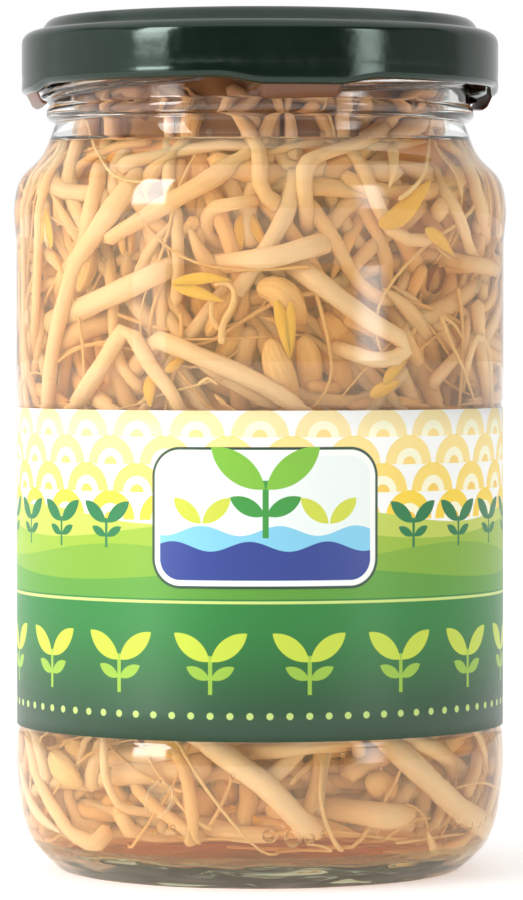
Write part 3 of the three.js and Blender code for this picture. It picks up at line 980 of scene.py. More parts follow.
class Print:
    """Draws on the label, in millimetres: x to the right from its front, y up from its lower edge."""

    def __init__(self, nodes: Nodes, length: float, height: float, front: float) -> None:
        """Splits the paper's UV map into millimetres."""
        self.nodes = nodes
        along, up, _ = nodes.uv()
        self.x = nodes.math("MULTIPLY_ADD", along, length, -front * length)
        self.y = nodes.times(up, height)
        self.colour: object = srgb(250, 250, 246)

    def lay(self, mask: object, colour: object) -> None:
        """Prints a colour where the mask is 1."""
        self.colour = self.nodes.mix(mask, self.colour, colour)

    def below(self, value: object, edge: object, soft: float = 0.06) -> Socket:
        """1 where a value lies below an edge."""
        gap = self.nodes.minus(edge, value)
        return self.nodes.ramp(gap, -soft, soft)

    def both(self, first: object, second: object) -> Socket:
        """1 where both masks are."""
        return self.nodes.times(first, second)

    def wave(self, level: float, swing: float, length: float, phase: float) -> Socket:
        """A height that swings along the label."""
        turn = self.nodes.math("MULTIPLY_ADD", self.x, 2 * math.pi / length, phase)
        return self.nodes.math("MULTIPLY_ADD", self.nodes.math("SINE", turn), swing, level)

    def repeat(self, period: float) -> Socket:
        """The distance along from the middle of each repeat, from -period / 2 to period / 2."""
        step = self.nodes.math("FLOORED_MODULO", self.x, period)
        return self.nodes.minus(step, period / 2)

    def disc(self, x: object, y: object, centre: Pair, radius: float) -> Socket:
        """A round spot."""
        nodes = self.nodes
        dx = nodes.minus(x, centre[0])
        dy = nodes.minus(y, centre[1])
        square = nodes.math("MULTIPLY_ADD", dx, dx, nodes.times(dy, dy))
        return self.below(nodes.math("SQRT", square), radius)

    def plate(self, centre: Pair, half: Pair, corner: float) -> Socket:
        """A box with round corners.

        Args:
            centre: Its middle.
            half: Half its width and height.
            corner: Its corners' radius.

        Returns:
            Its mask.
        """
        nodes = self.nodes
        sides = []
        for value, middle, size in ((self.x, centre[0], half[0]), (self.y, centre[1], half[1])):
            away = nodes.math("ABSOLUTE", nodes.minus(value, middle))
            sides.append(nodes.most(nodes.minus(away, size - corner), 0.0))
        square = nodes.math("MULTIPLY_ADD", sides[0], sides[0], nodes.times(sides[1], sides[1]))
        return self.below(nodes.math("SQRT", square), corner)

    def leaf(self, x: object, foot: Pair, size: Pair, lean: float) -> Socket:
        """A pointed leaf that leans out on both sides of x = 0: where two round spots overlap.

        Args:
            x: The distance from its seedling's middle.
            foot: Its foot on one side.
            size: Its length and half its width.
            lean: How far it leans, in degrees.

        Returns:
            Its mask.
        """
        nodes = self.nodes
        length, half = size
        bow = (length * length / 4 - half * half) / (2 * half)
        away = nodes.math("ABSOLUTE", x)
        turn = math.radians(lean)
        middle = (foot[0] + math.sin(turn) * length / 2, foot[1] + math.cos(turn) * length / 2)
        masks = []
        for side in (-1, 1):
            centre = (middle[0] + side * bow * math.cos(turn), middle[1] - side * bow * math.sin(turn))
            masks.append(self.disc(away, self.y, centre, bow + half))
        return self.both(*masks)

    def seedling(self, x: object, foot: float, scale: float, colours: Sequence[object]) -> None:
        """A seedling with two leaves: a thin stem and leaves in two colours.

        Args:
            x: The distance from its middle.
            foot: Its foot's height.
            scale: Its size.
            colours: The stem's colour, and the upper leaves'.
        """
        nodes = self.nodes
        stem = self.both(
            self.below(nodes.math("ABSOLUTE", x), 0.28 * scale),
            self.both(self.below(foot, self.y), self.below(self.y, foot + 5.2 * scale)),
        )
        self.lay(stem, colours[0])
        self.lay(self.leaf(x, (0.1, foot + 4.4 * scale), (6.2 * scale, 1.25 * scale), 52), colours[1])
        self.lay(self.leaf(x, (0.1, foot + 2.0 * scale), (3.6 * scale, 0.75 * scale), 62), colours[0])


@dataclass
class WrapLabel:
    """The paper label: a strip that goes once round the jar and laps over its own start at the back."""

    low: float = 21.4
    high: float = 67.84
    inner_r: float = 35.65
    thick: float = 0.16
    turn: float = 368.0
    step: float = 0.17
    rows: int = 12
    segments: int = 276

    def ink(self) -> bpy.types.Material:
        """Prints the label: a pale sky of scallops, hills, seedlings on a dark field and a bare plate."""
        nodes = Nodes("label_print")
        height = self.high - self.low
        art = Print(nodes, math.radians(self.turn) * self.inner_r, height, 180.0 / self.turn)
        up = art.y
        for row in range(4):
            level = 31.0 + 3.9 * row
            share = 1.0 - 0.13 * row
            shift = nodes.math("ADD", art.x, 4.5 * (row % 2))
            cell = nodes.minus(nodes.math("FLOORED_MODULO", shift, 9.0), 4.5)
            rise = art.below(level, up)
            for radius, strength, colour in (
                (4.1, share, srgb(250, 214, 62)),
                (2.3, 1.0, srgb(252, 248, 214)),
                (1.1, share, srgb(248, 200, 40)),
            ):
                spot = nodes.times(art.disc(cell, up, (0.0, level), radius), strength)
                art.lay(art.both(spot, rise), colour)
        hills = (
            (31.6, 1.1, 47.0, 0.4, srgb(192, 206, 84)),
            (29.6, 1.3, 61.0, 2.0, srgb(152, 186, 50)),
            (26.4, 1.2, 53.0, 4.1, srgb(126, 172, 46)),
            (23.4, 1.0, 71.0, 1.1, srgb(90, 154, 48)),
        )
        for level, swing, length, phase, colour in hills:
            art.lay(art.below(up, art.wave(level, swing, length, phase)), colour)
        aside = nodes.minus(1.0, art.below(nodes.math("ABSOLUTE", art.x), 18.6))
        plain = art.colour
        art.seedling(art.repeat(9.3), 27.0, 0.8, (srgb(20, 116, 62), srgb(20, 116, 62)))
        art.colour = nodes.mix(aside, plain, art.colour)
        field = nodes.mix(nodes.ramp(up, 1.0, 19.0), srgb(28, 66, 40), srgb(34, 124, 50))
        art.lay(art.below(up, 20.0), field)
        art.lay(art.both(art.below(19.35, up), art.below(up, 19.75)), srgb(206, 224, 128))
        art.seedling(art.repeat(14.0), 6.6, 1.05, (srgb(150, 190, 60), srgb(196, 214, 64)))
        dots = art.disc(art.repeat(2.8), up, (0.0, 3.6), 0.5)
        art.lay(dots, srgb(190, 214, 120))
        middle, size = (0.8, 31.4), (15.6, 9.2)
        for wider, corner, colour in (
            (0.75, 4.2, srgb(30, 66, 44)),
            (0.35, 3.8, srgb(252, 252, 246)),
            (-0.45, 3.0, srgb(236, 244, 240)),
        ):
            plate = art.plate(middle, (size[0] + wider, size[1] + wider), corner)
            art.lay(plate, colour)
        for level, phase, colour in ((29.6, 0.0, srgb(132, 204, 232)), (27.4, 2.4, srgb(44, 64, 142))):
            art.lay(art.both(plate, art.below(up, art.wave(level, 0.7, 11.0, phase))), colour)
        centred = nodes.minus(art.x, middle[0])
        near = art.below(nodes.math("ABSOLUTE", centred), 13.0)
        art.seedling(centred, 28.6, 1.55, (srgb(60, 150, 62), srgb(128, 190, 58)))
        for side in (-1, 1):
            aside = nodes.minus(centred, side * 9.0)
            art.lay(art.both(near, art.leaf(aside, (0.1, 30.6), (5.4, 1.1), 48)), srgb(206, 214, 70))
        tooth = nodes.noise(nodes.place(), 900.0, 2.0)
        shader = nodes.principled(
            Base_Color=art.colour,
            Roughness=nodes.math("MULTIPLY_ADD", tooth, 0.1, 0.42),
            Coat_Weight=0.25,
            Coat_Roughness=0.3,
            Normal=nodes.bump(tooth, 0.00001),
        )
        return nodes.finish(shader)

    def build(self) -> bpy.types.Object:
        """Builds the label."""
        bm = bmesh.new()
        bm.loops.layers.uv.new("UVMap")
        bmesh.ops.create_grid(bm, x_segments=self.segments, y_segments=self.rows, size=1.0, calc_uvs=True)
        for vert in bm.verts:
            along = (vert.co.x + 1) / 2 * self.turn
            lift = self.step * smooth((along - 359.0) / 2.0)
            height = self.low + (self.high - self.low) * (vert.co.y + 1) / 2
            vert.co = on_circle(self.inner_r + lift, 180.0 + along, height)
        face_out(bm)
        probe = bm.faces[0]
        if probe.normal.dot(Vector((*probe.calc_center_median().xy, 0.0))) < 0:
            bmesh.ops.reverse_faces(bm, faces=bm.faces)
        bmesh.ops.solidify(bm, geom=bm.faces, thickness=-self.thick * MM)
        face_out(bm)
        return add_piece("wrap_label", bm, [self.ink()], JAR_BODY, ["label"])


# ---- Sprouts ----


class Form(Enum):
    """The shapes that a sprout is made of."""

    STEM = "stem"
    ROOT = "root"
    SEED_LEAF = "seed_leaf"
    YOUNG_LEAF = "young_leaf"


STEM, ROOT, SEED_LEAF, YOUNG_LEAF = Form


class InnerWall:
    """The inside of the glass, which the sprouts lie against."""

    def __init__(self, jar: GlassJar) -> None:
        """Reads the inside of a jar from the middle of its floor up.

        Args:
            jar: The jar.
        """
        inside = jar.inside(Outline(jar.neck_inside, jar.rim_top))
        line = np.array(inside.points[::-1])
        self.radius, self.height = line.T
        steps = np.hypot(np.diff(self.radius), np.diff(self.height))
        self.run = np.concatenate([[0.0], np.cumsum(steps)])
        self.edge = int(np.argmax(self.radius > jar.body_inside - 3.0))

    def run_at(self, height: Array) -> Array:
        """How far along the wall a height lies, from the middle of the floor."""
        return np.interp(height, self.height[self.edge :], self.run[self.edge :])

    def radius_at(self, run: Array) -> Array:
        """The wall's radius at a run."""
        return np.interp(run, self.run, self.radius)

    def at(self, azimuth: Array, run: Array) -> tuple[Array, Array]:
        """Places on the wall, and the directions that point in from them.

        Args:
            azimuth: Degrees round the jar.
            run: Millimetres along the wall.

        Returns:
            The places and the directions, one row for each.
        """
        reach = 2.5
        radius, height = self.radius_at(run), np.interp(run, self.run, self.height)
        out = self.radius_at(run + reach) - self.radius_at(run - reach)
        up = np.interp(run + reach, self.run, self.height) - np.interp(run - reach, self.run, self.height)
        size = np.hypot(out, up)
        a = np.radians(azimuth)
        places = np.stack([radius * np.sin(a), -radius * np.cos(a), height], axis=1)
        inward = np.stack([-up * np.sin(a), up * np.cos(a), out], axis=1) / size[:, None]
        return places, inward


@dataclass
class FrontView:
    """How the glass and the brine shift what is seen from the front."""

    wall: InnerWall
    eye: Pair = (696.0, 78.6)
    surface: float = 105.3
    thickness: float = 2.3

    def azimuth(self, across: Array, up: Array, depth: Array) -> Array:
        """The azimuth at which a place behind the glass is seen at a distance across.

        Args:
            across: Millimetres to the right of the jar's axis, as seen.
            up: Its height.
            depth: Millimetres in from the glass.

        Returns:
            The azimuth in degrees.
        """
        inner = self.wall.radius_at(self.wall.run_at(up))
        outer = inner + self.thickness
        fill = np.where(up < self.surface, BRINE_IOR, 1.0)

        def slant(radius: Array, ior: object) -> Array:
            """The angle at which the line of sight meets a circle."""
            return np.arcsin(np.clip(across / (ior * radius), -0.97, 0.97))

        through_glass = slant(inner, GLASS_IOR) - slant(outer, GLASS_IOR)
        through_brine = slant(inner - depth, fill) - slant(inner, fill)
        sight = np.arctan(across / self.eye[0])
        return np.degrees(slant(outer, 1.0) + through_glass + through_brine - sight)

    def height(self, across: Array, up: Array, depth: Array) -> Array:
        """The height of a place that is seen level with a height on the jar's axis."""
        inner = self.wall.radius_at(self.wall.run_at(up))
        nearer = (inner - depth) * np.cos(np.radians(self.azimuth(across, up, depth)))
        return self.eye[1] + (up - self.eye[1]) * (self.eye[0] - nearer) / self.eye[0]


class Path:
    """A line of places, with the direction that faces out of the bunch at each."""

    def __init__(self, places: Array, outward: Array) -> None:
        """Measures the line.

        Args:
            places: Its places in millimetres, one row for each.
            outward: The direction that faces out at each.
        """
        self.places, self.outward = places, outward
        steps = np.linalg.norm(np.diff(places, axis=0), axis=1)
        self.run = np.concatenate([[0.0], np.cumsum(steps)])

    @property
    def length(self) -> float:
        """The line's length."""
        return float(self.run[-1])

    def read(self, values: Array, runs: Array) -> Array:
        """Reads rows between the line's own."""
        return np.stack([np.interp(runs, self.run, column) for column in values.T], axis=1)

    def frames(self, runs: Array) -> tuple[Array, Array, Array]:
        """Places on the line with their side and outward directions.

        Args:
            runs: Runs along the line.

        Returns:
            The places, sides and outward directions.
        """
        reach = 0.6
        places = self.read(self.places, runs)
        ahead = self.read(self.places, np.minimum(runs + reach, self.length))
        along = unit(ahead - self.read(self.places, np.maximum(runs - reach, 0.0)))
        side = unit(np.cross(self.read(self.outward, runs), along))
        return places, side, np.cross(along, side)


def unit(rows: Array) -> Array:
    """Gives every row the length 1."""
    return rows / np.maximum(np.linalg.norm(rows, axis=-1, keepdims=True), 1e-9)


def curve_through(points: Array, step: float) -> Array:
    """A smooth line through points, sampled about every step.

    Args:
        points: The points, one row for each.
        step: The distance between samples.

    Returns:
        The samples.
    """
    padded = np.concatenate([[2 * points[0] - points[1]], points, [2 * points[-1] - points[-2]]])
    rows = []
    for before, a, b, after in zip(padded, padded[1:], padded[2:], padded[3:]):
        count = max(2, round(float(np.linalg.norm(b - a)) / step))
        t = (np.arange(count) / count)[:, None]
        rows.append(between(before, a, b, after, t))
    return np.concatenate([*rows, points[-1:]])


class Pile:
    """The sprouts laid so far, as balls along them, against which the next one is laid."""

    def __init__(self, wall: InnerWall, room: int = 60000) -> None:
        """Starts an empty pile behind a wall."""
        self.wall = wall
        self.pressed = 0.86
        self.reach = 13.0
        self.places = np.zeros((room, 3))
        self.radii = np.zeros(room)
        self.count = 0

    def add(self, places: Array, radii: Array) -> None:
        """Adds balls."""
        more = len(places)
        self.places[self.count : self.count + more] = places
        self.radii[self.count : self.count + more] = radii
        self.count += more

    def near(self, places: Array) -> Array:
        """The numbers of the balls that a sprout at these places of the wall may meet."""
        low, high = places.min(axis=0) - self.reach, places.max(axis=0) + self.reach
        balls = self.places[: self.count]
        return np.flatnonzero(((balls > low) & (balls < high)).all(axis=1))

    def spans(
        self, near: Array, place: Array, inward: Array, radius: float
    ) -> tuple[Array, Array]:
        """The depths between which each near ball is in the way of a ball of a radius.

        Args:
            near: The near balls' numbers.
            place: The ball's place on the wall.
            inward: The direction in.
            radius: Its radius.

        Returns:
            The nearer and the farther depths.
        """
        away = place - self.places[near]
        reach = self.pressed * (radius + self.radii[near])
        along = away @ inward
        inside = along**2 - (away**2).sum(axis=1) + reach**2
        hit = inside > 0
        half = np.sqrt(inside[hit])
        return -along[hit] - half, -along[hit] + half

    def settle(
        self, azimuth: Array, run: Array, radii: Array, least: float | None = None
    ) -> Array:
        """Finds how deep each place of a sprout lies.

        Args:
            azimuth: Degrees round the jar.
            run: Millimetres along the wall.
            radii: The sprout's radius at each place.
            least: Its least depth where it lies in the first gap, or None where it lies behind everything.

        Returns:
            The depths in millimetres.
        """
        places, inward = self.wall.at(azimuth, run)
        steps = np.concatenate([[0.0], np.cumsum(np.linalg.norm(np.diff(places, axis=0), axis=1))])
        slack = 0.5 * np.abs(steps[:, None] - steps[None, :])
        near = self.near(places)
        blocked = [self.spans(near, p, n, r) for p, n, r in zip(places, inward, radii)]
        depth = radii + (0.08 if least is None else least)
        for _ in range(1 if least is None else 4):
            for index, (low, high) in enumerate(blocked):
                if least is None:
                    depth[index] = max([depth[index], *high])
                    continue
                for near, far in sorted(zip(low, high)):
                    if near < depth[index] < far:
                        depth[index] = far
            depth = (depth[None, :] - slack).max(axis=1)
        return depth


class Mould:
    """A closed skin of few faces that is laid round a path: rows along it, columns round it."""

    def __init__(self, around: int, rows: int) -> None:
        """Rolls a flat grid up and closes its ends.

        Args:
            around: Faces round the skin.
            rows: Faces along it.
        """
        bm = bmesh.new()
        bm.loops.layers.uv.new("UVMap")
        for name in ("turn", "share"):
            bm.verts.layers.float.new(name)
        bmesh.ops.create_grid(bm, x_segments=around, y_segments=rows, size=1.0, calc_uvs=True)
        turn, share = (bm.verts.layers.float[name] for name in ("turn", "share"))
        for vert in bm.verts:
            vert[turn] = math.pi * vert.co.x
            vert[share] = (vert.co.y + 1) / 2
            size = 0.0 if abs(vert.co.y) > 1 - 0.5 / rows else 1.0
            vert.co = (size * math.cos(vert[turn]), size * math.sin(vert[turn]), 4 * vert[share])
        bmesh.ops.remove_doubles(bm, verts=bm.verts, dist=1e-4)
        face_out(bm)
        self.mesh = bpy.data.meshes.new("mould")
        bm.to_mesh(self.mesh)
        bm.free()
        self.turn = self.values("turn")
        self.share = self.values("share")
        for name in ("tone", "run"):
            self.mesh.attributes.new(name, "FLOAT", "POINT")

    def values(self, name: str) -> Array:
        """Reads a layer of the skin."""
        out = np.empty(len(self.mesh.vertices), dtype=np.float32)
        self.mesh.attributes[name].data.foreach_get("value", out)
        return out.astype(float)


@dataclass
class Skin:
    """How a skin sits on its path."""

    size: Callable[[Array], Array]
    tone: float
    start: float = 0.0
    end: float | None = None
    wide: float = 1.0
    thick: float = 0.93
    flat: float | None = None
    fold: float = 0.0
    roll: float = 0.0
    offset: Pair = (0.0, 0.0)
    spread: float = 0.0


class Bunch:
    """Many skins in one mesh."""

    def __init__(self) -> None:
        """Starts an empty mesh."""
        self.bm = bmesh.new()

    def cast(self, mould: Mould, path: Path, skin: Skin) -> None:
        """Lays a skin round a path.

        Args:
            mould: The mould.
            path: The path.
            skin: How it sits.
        """
        end = path.length if skin.end is None else skin.end
        eased = 0.72 * (0.5 - 0.5 * np.cos(math.pi * mould.share)) + 0.28 * mould.share
        runs = skin.start + (end - skin.start) * eased
        places, side, out = path.frames(runs)
        turn = math.radians(skin.roll)
        across = side * math.cos(turn) + out * math.sin(turn)
        up = out * math.cos(turn) - side * math.sin(turn)
        size = skin.size(runs - skin.start)
        x = size * skin.wide * np.cos(mould.turn)
        y = size * skin.thick * np.sin(mould.turn)
        if skin.flat is not None:
            y = np.where(y < 0, y * skin.flat, y)
        y = y + skin.fold * np.abs(x)
        local = (runs - skin.start) / (end - skin.start)
        x = x + skin.offset[0] + skin.spread * local
        y = y + skin.offset[1]
        co = (places + across * x[:, None] + up * y[:, None]) * MM
        mesh = mould.mesh.copy()
        mesh.vertices.foreach_set("co", co.astype(np.float32).ravel())
        tones = np.full(len(runs), skin.tone)
        for name, values in (("tone", tones), ("run", runs)):
            mesh.attributes[name].data.foreach_set("value", values.astype(np.float32))
        self.bm.from_mesh(mesh)
        bpy.data.meshes.remove(mesh)


def stem_size(length: float, start: float, end: float, rooted: float = 0.0) -> Callable:
    """A stem's radius along it, rounded at its ends and drawn out into a root at its start.

    Args:
        length: The stem's length.
        start: Its radius at the start.
        end: Its radius at the end.
        rooted: The length over which it narrows into a root.

    Returns:
        The radius as a function of the run.
    """

    def size(runs: Array) -> Array:
        """The radius at runs.

        Args:
            runs: Runs along the stem.

        Returns:
            The radii.
        """
        share = runs / length
        radius = (start + (end - start) * share) * (1 + 0.035 * np.sin(runs * 0.7 + 5 * start))
        if rooted:
            ease = np.clip(runs / rooted, 0.0, 1.0)
            radius = radius * (0.2 + 0.8 * ease**1.5 * (2.5 - 1.5 * ease))
        near = np.minimum(runs, length - runs) / (0.9 * radius)
        return radius * np.sqrt(np.clip(1 - (1 - np.clip(near, 0.0, 1.0)) ** 2, 0.0, 1.0))

    return size


def leaf_size(length: float, half: float, fullest: float, point: float) -> Callable:
    """The outline of a leaf, or of half a bean.

    Args:
        length: Its length.
        half: Half its width.
        fullest: Where it is fullest: 1 for its middle, less for nearer its start.
        point: How pointed its ends are: 1 for sharp ones, less for blunt ones.

    Returns:
        The half width as a function of the run.
    """

    def size(runs: Array) -> Array:
        """The half width at runs."""
        share = np.clip(runs / length, 0.0, 1.0)
        return half * np.clip(np.sin(math.pi * share**fullest), 0.0, 1.0) ** point

    return size


# Where each kind of leaf is fullest, and how pointed it is.
SEED_SHAPE = (0.85, 0.55)
YOUNG_SHAPE = (0.7, 0.85)


@dataclass(frozen=True)
class Lying:
    """One part of a sprout that lies at the front: its route is across and up in millimetres, as seen."""

    form: Form
    route: tuple[Pair, ...]
    width: float
    tone: float
    end_width: float | None = None

    @property
    def last_width(self) -> float:
        """Its width at its end."""
        return self.width if self.end_width is None else self.end_width


@dataclass(frozen=True)
class Hull:
    """A shed seed hull: its place on a circle in the jar, its turns about X, Y and Z, and its size."""

    radius: float
    azimuth: float
    height: float
    turn: tuple[float, float, float]
    scale: float
    clear: bool = False
    around: int = 22
    rows: int = 16
    curl_from: float = -0.4
    curl: float = math.pi + 1.0
    thick: float = 0.28

    @property
    def centre(self) -> Vector:
        """Its middle in millimetres."""
        return on_circle(self.radius, self.azimuth, self.height) / MM

    def in_sight(self) -> Array:
        """The places between it and the viewer, where nothing else may lie."""
        centre = self.centre
        aside = math.copysign(0.3, centre.x)
        return np.array(
            [
                np.array(centre) + np.array([aside * reach, -0.92 * reach, shift])
                for shift in (-1.6, 0.8)
                for reach in (0.0, 2.0, 4.0)
            ]
        )


@dataclass(frozen=True)
class Arch:
    """A loose sprout across the neck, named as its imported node: its ends, its rise and its bow aside."""

    name: str
    azimuths: Pair
    heights: Pair
    lift: float
    bow: float
    leafy: bool
    radii: Pair = (23.2, 18.2)
    half: float = 1.3


ARCHES = (
    Arch("sprout_top_arch", (-75, 78), (108.9, 109.1), 1.6, 9, True),
    Arch("sprout_top_back", (128, -150), (108.9, 108.9), 1.4, 14, False),
    Arch("sprout_top_cross", (-118, 48), (113.2, 113.4), 0.8, 2, False),
    Arch("sprout_top_high", (152, 10), (116.8, 116.6), 0.8, 5, True),
)
